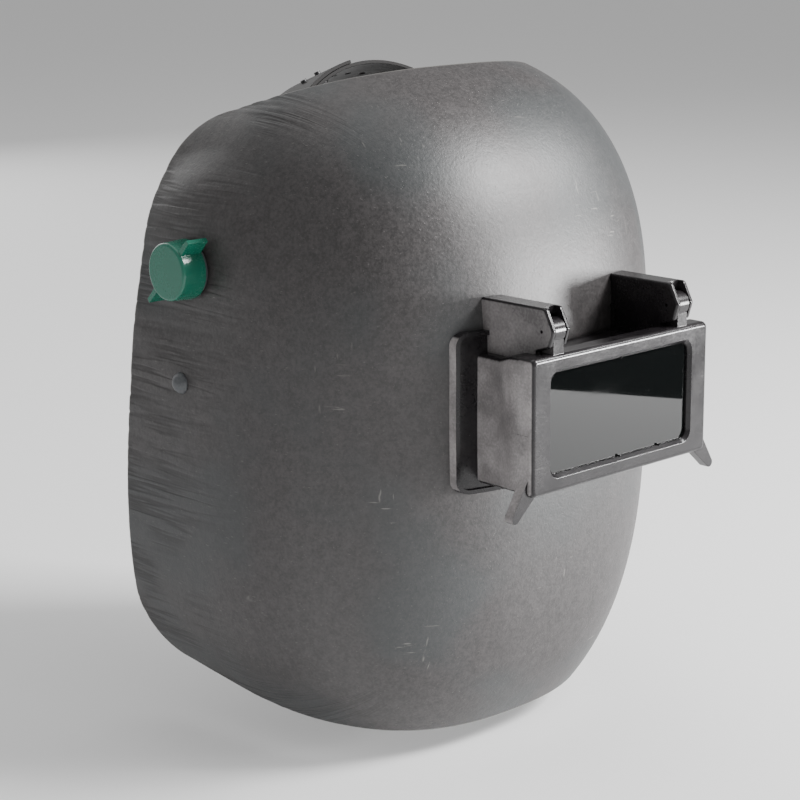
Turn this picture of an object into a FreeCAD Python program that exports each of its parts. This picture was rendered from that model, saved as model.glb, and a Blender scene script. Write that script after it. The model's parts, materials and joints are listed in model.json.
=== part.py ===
"""Fibre welding helmet with a lift-front lens holder and a ratchet headgear.

Millimetres. +X is the wearer's left, -Y is the way the wearer looks, +Z is up. The origin is
the middle of the pivot axis, which runs through the two wing knobs.
"""
import FreeCAD, Part
import math
import os

import Sketcher
from FreeCAD import Placement, Rotation, Vector

DOC = FreeCAD.newDocument("WeldingHelmet")
SHEET = DOC.addObject("Spreadsheet::Sheet", "Sizes")

# alias, value: every driving dimension of the helmet, written once; a text is a formula of them
SIZES = (
    # pressed fibre shell
    ("shell_half_width", 118.0),
    ("shell_rise", 150.4),
    ("shell_drop", 190.2),
    ("shell_middle_z", -60.6),
    ("dome_depth", 108.7),
    ("dome_start_y", -3.8),
    ("shell_wall", 2.0),
    ("upper_corner_power", 2.86),
    ("lower_corner_power", 2.58),
    ("dome_power_up", 3.12),
    ("dome_power_side", 2.58),
    ("dome_power_front", 2.15),
    ("crown_y", -19.6),
    ("crown_z", 74.1),
    ("rear_top_y", 28.2),
    ("rear_top_z", 58.3),
    ("rear_top_round", 30.6),
    ("rear_bottom_y", 62.3),
    ("rear_bottom_z", -186.4),
    ("rear_bottom_round", 27.2),
    ("chin_y", -118.2),
    ("chin_z", -217.8),
    # flat seats that the pivot hardware clamps on
    ("seat_inset", 2.6),
    ("seat_x", "=shell_half_width - seat_inset"),
    ("seat_flat", 17.0),
    ("seat_blend", 52.0),
    ("seat_gap", 0.02),
    ("seat_rise", 0.4),
    # lens holder
    ("visor_z", -56.5),
    ("visor_reach", 34.5),
    ("visor_front_y", "=dome_start_y - dome_depth - visor_reach"),
    ("plate_width", 108.0),
    ("plate_height", 50.8),
    ("plate_clearance", 0.3),
    ("safety_thickness", 2.0),
    ("filter_thickness", 3.0),
    ("cover_thickness", 1.5),
    ("retainer_thickness", 0.8),
    ("frame_side", 2.0),
    ("frame_bar", 3.65),
    ("frame_width", "=plate_width + 2 * (plate_clearance + frame_side)"),
    ("frame_height", "=plate_height + 2 * (plate_clearance + frame_bar)"),
    ("frame_depth", 8.5),
    ("frame_lip", 2.5),
    ("frame_round", 3.0),
    ("window_width", 88.0),
    ("window_height", 43.3),
    ("window_round", 4.0),
    ("front_gap", 0.35),
    ("box_half_width", 50.0),
    ("box_rise", 25.5),
    ("box_fall", 31.0),
    ("box_flare", 25.0),
    ("box_top_z", "=visor_z + box_rise"),
    ("box_bottom_z", "=visor_z - box_fall"),
    ("box_crease_y", "=visor_front_y + box_flare"),
    ("box_round", 2.5),
    ("scoop_radius", 45.0),
    ("scoop_depth", 2.2),
    ("rim_depth", 5.2),
    ("rim_inset", 0.6),
    ("tunnel_width", 86.0),
    ("tunnel_height", 40.0),
    ("tunnel_round", 3.0),
    ("flange_width", 121.0),
    ("flange_height", 70.0),
    ("flange_thickness", 2.2),
    ("flange_lip", 1.8),
    ("flange_lip_rise", 1.3),
    ("flange_round", 6.0),
    ("flange_wrap", 46.5),
    ("flange_rear_y", "=dome_start_y - dome_depth + flange_wrap"),
    ("seal_gap", 0.1),
    ("collar_depth", 14.5),
    ("collar_rear_y", "=dome_start_y - dome_depth + collar_depth"),
    ("shell_window_width", 92.0),
    ("shell_window_height", 46.0),
    ("shell_window_round", 8.0),
    ("collar_gap", 0.3),
    # lift-front hinge
    ("hinge_setback", 5.6),
    ("hinge_rise", 9.35),
    ("hinge_y", "=visor_front_y + hinge_setback"),
    ("hinge_z", "=visor_z + frame_height / 2 + hinge_rise"),
    ("lug_inner_x", 34.0),
    ("lug_outer_x", 45.2),
    ("lug_cheek", 2.1),
    ("lug_rise", 9.8),
    ("lug_top_z", "=hinge_z + lug_rise"),
    ("knuckle_radius", 5.6),
    ("knuckle_gap", 0.3),
    ("hinge_pin_radius", 1.5),
    ("hinge_play", 0.06),
    ("pin_head_radius", 5.2),
    ("pin_head_thickness", 0.7),
    ("pin_hole_radius", 0.7),
    ("horn_reach_x", 8.0),
    ("horn_reach_z", 9.2),
    ("horn_tip_radius", 2.1),
    ("horn_thickness", 4.6),
    ("horn_setback", 2.6),
    # clamp inside the shell
    ("clamp_width", 122.0),
    ("clamp_height", 72.0),
    ("clamp_thickness", 2.4),
    ("screw_radius", 1.5),
    ("screw_length", 14.0),
    ("screw_head_radius", 2.8),
    ("screw_head_height", 1.8),
    ("screw_relief", 2.0),
    ("screw_x", 46.5),
    ("screw_z", 22.5),
    # pivot hardware
    ("stud_radius", 3.0),
    ("stud_head_radius", 6.0),
    ("stud_head_height", 3.0),
    ("pivot_play", 0.3),
    ("washer_radius", 12.0),
    ("washer_thickness", 1.5),
    ("spacer_radius", 14.0),
    ("spacer_thickness", 1.5),
    ("side_gap", 0.3),
    ("arm_thickness", 2.5),
    ("knob_base_radius", 13.2),
    ("knob_face_radius", 12.5),
    ("knob_thickness", 11.6),
    ("knob_edge_round", 1.3),
    ("fin_reach", 20.5),
    ("fin_thickness", 2.8),
    ("fin_inset", 1.0),
    ("fin_turn", 45.0),
    ("insert_radius", 5.0),
    ("insert_length", 8.0),
    ("thread_play", 0.05),
    # stop pegs
    ("peg_y", 6.1),
    ("peg_z", -51.4),
    ("peg_head_radius", 4.8),
    ("peg_head_height", 3.6),
    ("peg_shank_radius", 2.4),
    ("peg_reach", 8.4),
    ("nut_radius", 5.0),
    ("nut_thickness", 1.4),
    ("stop_gap", 0.3),
    ("stop_arm_width", 9.0),
    # headgear
    ("band_half_width", 79.0),
    ("band_half_length", 99.0),
    ("band_centre_y", 6.0),
    ("band_thickness", 1.8),
    ("band_height", 28.0),
    ("band_rear_y", 48.0),
    ("bracket_root", 19.0),
    ("bracket_reach", 8.0),
    ("bracket_length", 40.0),
    ("bracket_drum_radius", 15.0),
    ("tail_gap", 0.4),
    ("tail_thickness", 1.4),
    ("tail_height", 7.0),
    ("sweatband_thickness", 5.0),
    ("sweatband_height", 32.0),
    ("sweatband_rear_y", -38.0),
    ("soft_gap", 0.3),
    ("strap_width", 32.0),
    ("strap_thickness", 1.6),
    ("strap_inset", 4.6),
    ("strap_half_width", "=band_half_width - strap_inset"),
    ("strap_apex", 81.0),
    ("strap_lean", 20.0),
    ("strap_hinge_y", -2.0),
    ("strap_lap_from", -36.0),
    ("strap_lap_to", -11.0),
    ("strap_lap_gap", 0.1),
    ("strap_hole_radius", 1.5),
    ("strap_hole_spacing", 9.0),
    ("strap_peg_radius", 2.5),
    ("strap_peg_inset", 4.5),
    ("strap_peg_head", 1.6),
    ("lap_peg_head_radius", 3.0),
    ("ratchet_width", 52.0),
    ("ratchet_height", 30.0),
    ("ratchet_depth", 15.0),
    ("ratchet_wall", 1.8),
    ("ratchet_round", 5.0),
    ("ratchet_set", 8.0),
    ("ratchet_y", "=band_centre_y + band_half_length - ratchet_set"),
    ("dial_radius", 19.0),
    ("dial_depth", 12.0),
    ("grip_radius", 1.8),
    ("pinion_radius", 5.0),
    ("pinion_teeth", 10.0),
    ("nape_thickness", 5.0),
)


def fill_sheet():
    """Write each size in the sheet and name its cell."""
    for row, (alias, value) in enumerate(SIZES, start=1):
        SHEET.set("A%d" % row, alias)
        SHEET.set("B%d" % row, str(value))
        SHEET.setAlias("B%d" % row, alias)
    DOC.recompute()


def size(alias):
    """Value of a named size."""
    return float(SHEET.get(alias))


def number(expression):
    """Value of a formula of named sizes, such as 'Sizes.a + 2 * Sizes.b'."""
    return float(SHEET.evalExpression(str(expression)))


fill_sheet()
SIDES = (("left", 1), ("right", -1))
PIECES = []

TO_FRONT = Rotation(Vector(1, 0, 0), 90)        # local z looks forward, local y looks up
TO_REAR = Rotation(Vector(1, 0, 0), -90)        # local z looks to the rear


def to_side(sign):
    """Rotation that turns local z outwards on the given side."""
    return Rotation(Vector(0, 1, 0), 90 * sign)


def keep(piece, label):
    """Name a finished sub-part and list it for export."""
    piece.Label = label
    PIECES.append(piece)
    return piece


# ---------------------------------------------------------------- sketch and body helpers


def origin_plane(body, role):
    """The body's own origin plane with the given role."""
    return [f for f in body.Origin.OriginFeatures if f.Role == role][0]


def new_body(name, position=Vector(0, 0, 0), rotation=Rotation()):
    """PartDesign body at a place."""
    body = DOC.addObject("PartDesign::Body", name)
    body.Placement = Placement(position, rotation)
    return body


def new_sketch(body, name, role="XY_Plane", offset=None):
    """Sketch on a plane of the body's origin, offset along its normal by a formula."""
    sketch = body.newObject("Sketcher::SketchObject", name)
    sketch.AttachmentSupport = (origin_plane(body, role), [""])
    sketch.MapMode = "FlatFace"
    if offset is not None:
        sketch.setExpression("AttachmentOffset.Base.z", offset)
    return sketch


def bind_distance(sketch, kind, geometry, point, expression):
    """Fix one coordinate of a sketch point to a formula."""
    value = number(expression)
    if abs(value) < 1e-9:
        axis = -2 if kind == "DistanceX" else -1
        sketch.addConstraint(Sketcher.Constraint("PointOnObject", geometry, point, axis))
        return
    index = sketch.addConstraint(Sketcher.Constraint(kind, -1, 1, geometry, point, value))
    sketch.setExpression("Constraints[%d]" % index, expression)


def draw_polygon(sketch, corners):
    """Closed polygon whose corners are pairs of formulas."""
    spots = [Vector(number(x), number(y), 0) for x, y in corners]
    first = sketch.GeometryCount
    for index, spot in enumerate(spots):
        sketch.addGeometry(Part.LineSegment(spot, spots[(index + 1) % len(spots)]), False)
    for index in range(len(spots)):
        follower = first + (index + 1) % len(spots)
        sketch.addConstraint(Sketcher.Constraint("Coincident", first + index, 2, follower, 1))
    for index, (x, y) in enumerate(corners):
        bind_distance(sketch, "DistanceX", first + index, 1, x)
        bind_distance(sketch, "DistanceY", first + index, 1, y)


def draw_rectangle(sketch, width, height):
    """Rectangle centred on the sketch's origin."""
    half = [("%s(%s)/2" % (a, width), "%s(%s)/2" % (b, height))
            for a, b in (("-", "-"), ("", "-"), ("", ""), ("-", ""))]
    draw_polygon(sketch, half)


def draw_circle(sketch, radius, centre=("0", "0")):
    """Circle with a bound radius and centre."""
    spot = Vector(number(centre[0]), number(centre[1]), 0)
    index = sketch.addGeometry(Part.Circle(spot, Vector(0, 0, 1), number(radius)), False)
    bound = sketch.addConstraint(Sketcher.Constraint("Radius", index, number(radius)))
    sketch.setExpression("Constraints[%d]" % bound, radius)
    bind_distance(sketch, "DistanceX", index, 3, centre[0])
    bind_distance(sketch, "DistanceY", index, 3, centre[1])


def pad(body, sketch, length, backwards=False, midplane=False):
    """Pad a sketch by a formula."""
    feature = body.newObject("PartDesign::Pad", sketch.Name + "Pad")
    feature.Profile = sketch
    feature.setExpression("Length", length)
    feature.Reversed = backwards
    feature.Midplane = midplane
    DOC.recompute()
    return feature


def pocket(body, sketch, length, backwards=False):
    """Pocket a sketch by a formula and check that it removed material."""
    before = body.Shape.Volume
    feature = body.newObject("PartDesign::Pocket", sketch.Name + "Pocket")
    feature.Profile = sketch
    feature.setExpression("Length", length)
    feature.Reversed = backwards
    DOC.recompute()
    if body.Shape.Volume >= before:
        raise RuntimeError("%s removes nothing" % feature.Name)
    return feature


def revolve(body, sketch):
    """Turn a half profile about the sketch's vertical axis."""
    feature = body.newObject("PartDesign::Revolution", sketch.Name + "Turn")
    feature.Profile = sketch
    feature.ReferenceAxis = (sketch, ["V_Axis"])
    feature.Angle = 360
    DOC.recompute()
    return feature


def edges_where(feature, test):
    """Names of a feature's edges that pass a test."""
    return ["Edge%d" % (i + 1) for i, edge in enumerate(feature.Shape.Edges) if test(edge)]


def fillet(body, feature, radius, test):
    """Round the edges of a feature that pass a test."""
    names = edges_where(feature, test)
    if not names:
        raise RuntimeError("%s has no edge to round" % feature.Name)
    rounding = body.newObject("PartDesign::Fillet", feature.Name + "Round")
    rounding.Base = (feature, names)
    rounding.setExpression("Radius", radius)
    DOC.recompute()
    return rounding


def along(edge, direction, tolerance=1e-4):
    """True if a straight edge runs along a direction."""
    if edge.Curve.TypeId != "Part::GeomLine":
        return False
    tangent = edge.tangentAt(edge.FirstParameter)
    return abs(abs(tangent.dot(direction)) - 1) < tolerance


def at_height(edge, z):
    """True if an edge lies in the plane at a local height."""
    box = edge.BoundBox
    return abs(box.ZMin - z) < 1e-4 and abs(box.ZMax - z) < 1e-4


def turned_piece(label, outline, position, rotation):
    """Body turned from a half profile of (radius, height) formulas."""
    body = new_body(label, position, rotation)
    # the profile stands in the XZ plane, so its vertical axis is the body's z
    sketch = new_sketch(body, label + "_profile", "XZ_Plane")
    draw_polygon(sketch, outline)
    revolve(body, sketch)
    return keep(body, label)


def ring_piece(label, outer, inner, thickness, position, rotation):
    """Flat ring from two circles."""
    body = new_body(label, position, rotation)
    sketch = new_sketch(body, label + "_rings")
    draw_circle(sketch, outer)
    draw_circle(sketch, inner)
    pad(body, sketch, thickness)
    return keep(body, label)


# ---------------------------------------------------------------- free-form shell helpers

RING_POINTS = 48
DOME_RINGS = 11
REAR_STATIONS = (90.0, 60.0, 40.0, 24.0, 10.0)
DOMES = {}


def power_pair(sine):
    """Height and corner power of the half outline that a direction points to."""
    if sine >= 0:
        return size("shell_rise"), size("upper_corner_power")
    return size("shell_drop"), size("lower_corner_power")


def seat_weight(y, z):
    """How flat the wall is near the pivot: 1 on the seat, 0 away from it."""
    reach = math.hypot(y, z)
    start, end = size("seat_flat"), size("seat_blend")
    blend = min(max((end - reach) / (end - start), 0.0), 1.0)
    return blend * blend * (3 - 2 * blend)


def wall_point(angle, y, offset):
    """Point of the shell surface moved outwards by offset, at a section angle and a y."""
    cosine, sine = math.cos(angle), math.sin(angle)
    height, power = power_pair(sine)
    width = size("shell_half_width") + offset
    height += offset
    radius = (abs(cosine / width) ** power + abs(sine / height) ** power) ** (-1 / power)
    depth = (size("dome_start_y") - y) / (size("dome_depth") + offset)
    if depth > 0:
        front = size("dome_power_front")
        local = size("dome_power_side") * cosine ** 2 + size("dome_power_up") * sine ** 2
        radius *= max(1 - depth ** front, 0.0) ** (1 / local)
    x = radius * cosine
    z = size("shell_middle_z") + radius * sine
    weight = seat_weight(y, z)
    if weight > 0 and abs(x) > size("shell_half_width") / 2:
        x += weight * (math.copysign(size("seat_x") - size("seat_rise") + offset, x) - x)
    return Vector(x, y, z)


def dome_solid(offset, front_only=False):
    """Closed solid inside the shell surface moved outwards by offset, with a flat rear face."""
    if (offset, front_only) in DOMES:
        return DOMES[offset, front_only]
    start = size("dome_start_y")
    depth = size("dome_depth") + offset
    sweep = [math.radians(86.5) * step / DOME_RINGS for step in range(DOME_RINGS + 1)]
    stations = [start - depth * math.sin(turn) for turn in sweep]
    if front_only:
        first = size("flange_rear_y") + 8
        stations = [first] + [y for y in stations if y < first - 4]
    else:
        stations = list(REAR_STATIONS) + stations
    wires = []
    for y in stations:
        turns = [2 * math.pi * step / RING_POINTS - math.pi / 2 for step in range(RING_POINTS)]
        curve = Part.BSplineCurve()
        curve.interpolate(Points=[wall_point(turn, y, offset) for turn in turns],
                          PeriodicFlag=True)
        wires.append(Part.Wire([curve.toShape()]))
    DOMES[offset, front_only] = Part.makeLoft(wires, True, False)
    return DOMES[offset, front_only]


def rounded_outline(corners):
    """Closed wire through (y, z, radius) corners in the YZ plane, rounded where radius > 0."""
    spots = [Vector(0, y, z) for y, z, _ in corners]
    edges = []
    ends = []
    count = len(corners)
    for index, (_, _, radius) in enumerate(corners):
        spot = spots[index]
        before = (spots[index - 1] - spot).normalize()
        after = (spots[(index + 1) % count] - spot).normalize()
        if radius <= 0:
            ends.append((spot, spot))
            continue
        half = before.getAngle(after) / 2
        reach = radius / math.tan(half)
        middle = (before + after).normalize()
        centre = spot + middle * (radius / math.sin(half))
        start, end = spot + before * reach, spot + after * reach
        edges.append(Part.Arc(start, centre - middle * radius, end).toShape())
        ends.append((start, end))
    for index in range(count):
        start, end = ends[index][1], ends[(index + 1) % count][0]
        edges.append(Part.makeLine(start, end))
    return Part.Wire(Part.__sortEdges__(edges))


def side_prism(corners, x_from, x_to):
    """Prism along X over a rounded YZ outline."""
    face = Part.Face(rounded_outline(corners))
    prism = face.extrude(Vector(x_to - x_from, 0, 0))
    prism.translate(Vector(x_from, 0, 0))
    return prism


def front_block(width, height, radius, y_from, y_to, centre_z=None):
    """Block with rounded corners seen from the front, between two y planes."""
    centre_z = size("visor_z") if centre_z is None else centre_z
    block = Part.makeBox(width, abs(y_to - y_from), height)
    block.translate(Vector(-width / 2, min(y_from, y_to), centre_z - height / 2))
    if radius > 0:
        corners = [e for e in block.Edges if along(e, Vector(0, 1, 0))]
        block = block.makeFillet(radius, corners)
    return block


def rod(radius, start, end):
    """Cylinder between two points."""
    return Part.makeCylinder(radius, (end - start).Length, start, end - start)


def shape_piece(label, shape):
    """Part::Feature that holds a free-form shape."""
    piece = DOC.addObject("Part::Feature", label)
    piece.Shape = shape
    return keep(piece, label)


OUTER = dome_solid(0.0)
INNER = dome_solid(-size("shell_wall"))
BIG = 400.0


# ---------------------------------------------------------------- shell


def trim_corners():
    """Side view of the shell's open edge, closed far in front of the dome."""
    crown = Vector(0, size("crown_y"), size("crown_z"))
    top = Vector(0, size("rear_top_y"), size("rear_top_z"))
    bottom = Vector(0, size("rear_bottom_y"), size("rear_bottom_z"))
    chin = Vector(0, size("chin_y"), size("chin_z"))
    rise = crown + (crown - top).normalize() * BIG
    fall = chin + (chin - bottom).normalize() * BIG
    return [(rise.y, rise.z, 0), (top.y, top.z, size("rear_top_round")),
            (bottom.y, bottom.z, size("rear_bottom_round")), (fall.y, fall.z, 0)]


def flat_seats(solid, inwards):
    """Raise the flat round seats where the pivot hardware clamps the wall."""
    radius = size("seat_flat") - 1
    face = size("seat_x") - inwards
    for _, sign in SIDES:
        solid = solid.fuse(rod(radius, Vector(sign * (face - 8), 0, 0), Vector(sign * face, 0, 0)))
    return solid


def peg_spot(sign, x):
    """Point on a stop peg's axis."""
    return Vector(sign * x, size("peg_y"), size("peg_z"))


def make_shell():
    """Pressed fibre shell with its lens, pivot, peg and screw holes."""
    width = size("shell_half_width") + 20
    wall = size("shell_wall")
    shell = flat_seats(OUTER, 0).cut(flat_seats(INNER, wall))
    shell = shell.common(side_prism(trim_corners(), -width, width))
    bore = size("stud_radius") + size("pivot_play")
    shank = size("peg_shank_radius")
    near = size("shell_half_width") / 2
    for _, sign in SIDES:
        shell = shell.cut(rod(bore, Vector(sign * near, 0, 0), Vector(sign * width, 0, 0)))
        shell = shell.cut(rod(shank, peg_spot(sign, near), peg_spot(sign, width)))
    front, rear = size("visor_front_y"), size("flange_rear_y")
    opening = front_block(size("shell_window_width"), size("shell_window_height"),
                          size("shell_window_round"), front, rear)
    shell = shell.cut(opening)
    through = Vector(0, rear - front, 0)
    for spot in screw_spots(front):
        shell = shell.cut(rod(size("screw_radius") + 0.2, spot, spot + through))
    return shape_piece("fibre_shell", shell)


# ---------------------------------------------------------------- lens holder


def screw_spots(y):
    """Where the four clamp screws' axes cross a y plane."""
    return [Vector(a * size("screw_x"), y, size("visor_z") + b * size("screw_z"))
            for a in (-1, 1) for b in (-1, 1)]


def back_plane():
    """Plane behind the lift front, where the fixed box begins."""
    return size("visor_front_y") + size("frame_depth") + size("front_gap")


def rounded_section(y, half_width, low, high, radius):
    """Rounded rectangle in the plane at a y."""
    corners = ((half_width, high, 0), (-half_width, high, 90),
               (-half_width, low, 180), (half_width, low, 270))
    edges = []
    points = []
    for x, z, turn in corners:
        centre = Vector(x - math.copysign(radius, x), y,
                        z - radius if z == high else z + radius)
        spots = [centre + Vector(math.cos(math.radians(turn + step)) * radius, 0,
                                 math.sin(math.radians(turn + step)) * radius)
                 for step in (0, 45, 90)]
        points.append(spots)
    for index, spots in enumerate(points):
        edges.append(Part.Arc(*spots).toShape())
        edges.append(Part.makeLine(spots[2], points[(index + 1) % 4][0]))
    return Part.Wire(edges)


def box_body():
    """Fixed lens box: straight sides at the shell, flaring to the rim at the front."""
    rim_y = back_plane()
    rim_half = size("frame_width") / 2 - size("rim_inset")
    rim_high = size("frame_height") / 2 - size("rim_inset")
    top, bottom = size("box_top_z"), size("box_bottom_z")
    middle = size("visor_z")
    rounding = size("box_round")
    sections = [rounded_section(y, size("box_half_width"), bottom, top, rounding)
                for y in (size("flange_rear_y") + 6, size("box_crease_y"))]
    sections += [rounded_section(y, rim_half, middle - rim_high, middle + rim_high, rounding)
                 for y in (rim_y + size("rim_depth"), rim_y)]
    return Part.makeLoft(sections, True, True)


def lug(sign):
    """Hinge lug: two cheeks with the knuckle's slot between them."""
    axis_y, axis_z = size("hinge_y"), size("hinge_z")
    top = size("lug_top_z")
    floor = size("box_top_z") - 1
    rear = size("flange_rear_y") + 6
    sill = size("visor_z") + size("frame_height") / 2 + size("front_gap")
    corners = [(rear, top, 0), (axis_y - 1.6, top, 2.0), (axis_y - 6.2, axis_z + 0.8, 1.5),
               (axis_y - 4.0, axis_z - 6.4, 1.5), (back_plane(), sill, 0),
               (back_plane(), floor, 0), (rear, floor, 0)]
    inner, outer = size("lug_inner_x"), size("lug_outer_x")
    block = side_prism(corners, inner, outer)
    long_edges = [e for e in block.Edges if along(e, Vector(0, 1, 0)) and
                  abs(e.BoundBox.ZMax - top) < 1e-3]
    block = block.makeFillet(1.2, long_edges)
    slot_back = axis_y + size("knuckle_radius") + 2 * size("knuckle_gap")
    slot_from, slot_to = inner + size("lug_cheek"), outer - size("lug_cheek")
    slot = Part.makeBox(slot_to - slot_from, 30, 60)
    slot.translate(Vector(slot_from, slot_back - 30, floor - 20))
    roof = Part.makeBox(slot_to - slot_from, 30, 30)
    roof_z = axis_z + size("knuckle_radius") + 2 * size("knuckle_gap")
    roof.translate(Vector(slot_from, axis_y + 1.2, roof_z))
    block = block.cut(slot.cut(roof))
    bore = size("hinge_pin_radius")
    spot = Vector(0, axis_y, axis_z)
    block = block.cut(rod(bore, spot, spot + Vector(outer + 5, 0, 0)))
    recess = size("pin_head_thickness")
    block = block.cut(rod(size("pin_head_radius"), spot + Vector(outer - recess, 0, 0),
                          spot + Vector(outer + 5, 0, 0)))
    if sign < 0:
        block = block.mirror(Vector(0, 0, 0), Vector(1, 0, 0))
    return block


def top_scoop():
    """Shallow trough across the top of the box, between the lugs."""
    radius, depth = size("scoop_radius"), size("scoop_depth")
    middle_y = size("box_crease_y") + 4
    centre = Vector(0, middle_y, size("box_top_z") + radius - depth)
    reach = Vector(size("lug_inner_x") - 1, 0, 0)
    return rod(radius, centre - reach, centre + reach)


def shell_layer(near, far, outline):
    """Layer between two offsets of the shell surface, inside a front-view outline."""
    return dome_solid(far, True).common(outline).cut(dome_solid(near, True))


def make_visor_housing():
    """Flange that hugs the dome, lens box, rim pocket and hinge lugs in one moulding."""
    seal = size("seal_gap")
    front, rear = size("visor_front_y"), size("flange_rear_y")
    lip = size("flange_lip")
    face = seal + size("flange_thickness")
    outline = front_block(size("flange_width"), size("flange_height"),
                          size("flange_round"), front, rear)
    inside = front_block(size("flange_width") - 2 * lip, size("flange_height") - 2 * lip,
                         size("flange_round") - lip, front - 1, rear + 1)
    flange = outline.common(dome_solid(face + size("flange_lip_rise"), True))
    flange = flange.cut(inside.cut(dome_solid(face, True)))
    housing = box_body().fuse(flange)
    housing = housing.cut(top_scoop())
    for _, sign in SIDES:
        housing = housing.fuse(lug(sign))
    housing = housing.cut(dome_solid(seal, True))
    slack = size("collar_gap")
    collar = front_block(size("shell_window_width") - 2 * slack,
                         size("shell_window_height") - 2 * slack,
                         size("shell_window_round") - slack,
                         size("box_crease_y"), size("collar_rear_y"))
    housing = housing.fuse(collar)
    tunnel = front_block(size("tunnel_width"), size("tunnel_height"), size("tunnel_round"),
                         front - 5, rear + 6)
    housing = housing.cut(tunnel)
    space = 2 * size("plate_clearance")
    seat_depth = size("safety_thickness") + size("retainer_thickness") + size("plate_clearance")
    seat = front_block(size("plate_width") + space, size("plate_height") + space, 0,
                       back_plane() - 10, back_plane() + seat_depth)
    housing = housing.cut(seat)
    tip = Vector(0, screw_seat_y() - size("screw_length") - size("screw_relief") - rear, 0)
    for spot in screw_spots(rear):
        housing = housing.cut(rod(size("screw_radius"), spot + tip, spot))
    return shape_piece("visor_housing", housing.removeSplitter())


def make_clamp_and_screws():
    """Clamp frame inside the shell and the four screws that pull the housing on to it."""
    wall, seal = size("shell_wall"), size("seal_gap")
    front, rear = size("visor_front_y"), size("flange_rear_y") + 26
    outline = front_block(size("clamp_width"), size("clamp_height"), size("flange_round"),
                          front, rear)
    hole = front_block(size("shell_window_width"), size("shell_window_height"),
                       size("shell_window_round"), front, rear)
    back = -wall - seal
    clamp = shell_layer(back - size("clamp_thickness"), back, outline)
    inner = dome_solid(back, True)
    seat_y = screw_seat_y()
    radius = size("screw_head_radius") + 1.4
    for spot in screw_spots(seat_y):
        clamp = clamp.fuse(rod(radius, spot + Vector(0, -25, 0), spot).common(inner))
    for spot in screw_spots(seat_y):
        clamp = clamp.cut(rod(size("screw_head_radius") + 0.3, spot, spot + Vector(0, 20, 0)))
        clamp = clamp.cut(rod(size("screw_radius") + 0.2, spot + Vector(0, -30, 0), spot))
    clamp = clamp.cut(hole)
    shape_piece("inner_clamp_frame", clamp.removeSplitter())
    screws = []
    for spot in screw_spots(seat_y):
        shank = rod(size("screw_radius"), spot + Vector(0, -size("screw_length"), 0), spot)
        head = rod(size("screw_head_radius"), spot, spot + Vector(0, size("screw_head_height"), 0))
        drive = Part.makeBox(4, 1, 0.8)
        drive.translate(spot + Vector(-2, size("screw_head_height") - 0.9, -0.4))
        screws.append(shank.fuse(head).cut(drive).removeSplitter())
    shape_piece("clamp_screws", Part.makeCompound(screws))


def screw_seat_y():
    """Plane of the screw seats: just behind the clamp's inner face at the screw."""
    depth = -size("shell_wall") - size("seal_gap") - size("clamp_thickness")
    angle = math.atan2(size("screw_z"), size("screw_x"))
    low, high = size("visor_front_y"), 0.0
    centre = size("visor_z") - size("shell_middle_z")
    wanted = math.hypot(size("screw_x"), size("screw_z") + centre)
    for _ in range(40):
        middle = (low + high) / 2
        spot = wall_point(angle, middle, depth)
        reach = math.hypot(spot.x, spot.z - size("shell_middle_z"))
        if reach > wanted:
            high = middle
        else:
            low = middle
    return high + 1.6


def visor_place(depth):
    """Spot on the visor's axis, depth behind the front plane."""
    return Vector(0, size("visor_front_y") + depth, size("visor_z"))


def flat_plate(label, thickness, back_y, corner=1.0):
    """Lens plate with eased corners, its back face in a y plane."""
    body = new_body(label, Vector(0, back_y, size("visor_z")), TO_FRONT)
    sketch = new_sketch(body, label + "_outline")
    draw_rectangle(sketch, "Sizes.plate_width", "Sizes.plate_height")
    plate = pad(body, sketch, thickness)
    fillet(body, plate, str(corner), lambda e: along(e, Vector(0, 0, 1)))
    return keep(body, label)


def retainer(label, back_y):
    """Thin spring frame that holds plates in their pocket."""
    body = new_body(label, Vector(0, back_y, size("visor_z")), TO_FRONT)
    outline = new_sketch(body, label + "_outline")
    draw_rectangle(outline, "Sizes.plate_width", "Sizes.plate_height")
    frame = pad(body, outline, "Sizes.retainer_thickness")
    fillet(body, frame, "1.5", lambda e: along(e, Vector(0, 0, 1)))
    opening = new_sketch(body, label + "_opening")
    draw_rectangle(opening, "Sizes.window_width + 2", "Sizes.window_height")
    pocket(body, opening, "Sizes.retainer_thickness", backwards=True)
    return keep(body, label)


def make_plates():
    """Safety plate in the box, and cover and filter plates in the lift front."""
    rear_seat = back_plane() + size("safety_thickness") + size("retainer_thickness")
    rear_seat += size("plate_clearance")
    flat_plate("safety_plate", "Sizes.safety_thickness", rear_seat)
    retainer("safety_retainer", rear_seat - size("safety_thickness"))
    cover_back = size("visor_front_y") + size("frame_lip") + size("cover_thickness")
    flat_plate("cover_plate", "Sizes.cover_thickness", cover_back)
    filter_back = cover_back + size("filter_thickness")
    flat_plate("filter_plate", "Sizes.filter_thickness", filter_back)
    retainer("filter_retainer", filter_back + size("retainer_thickness"))


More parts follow.
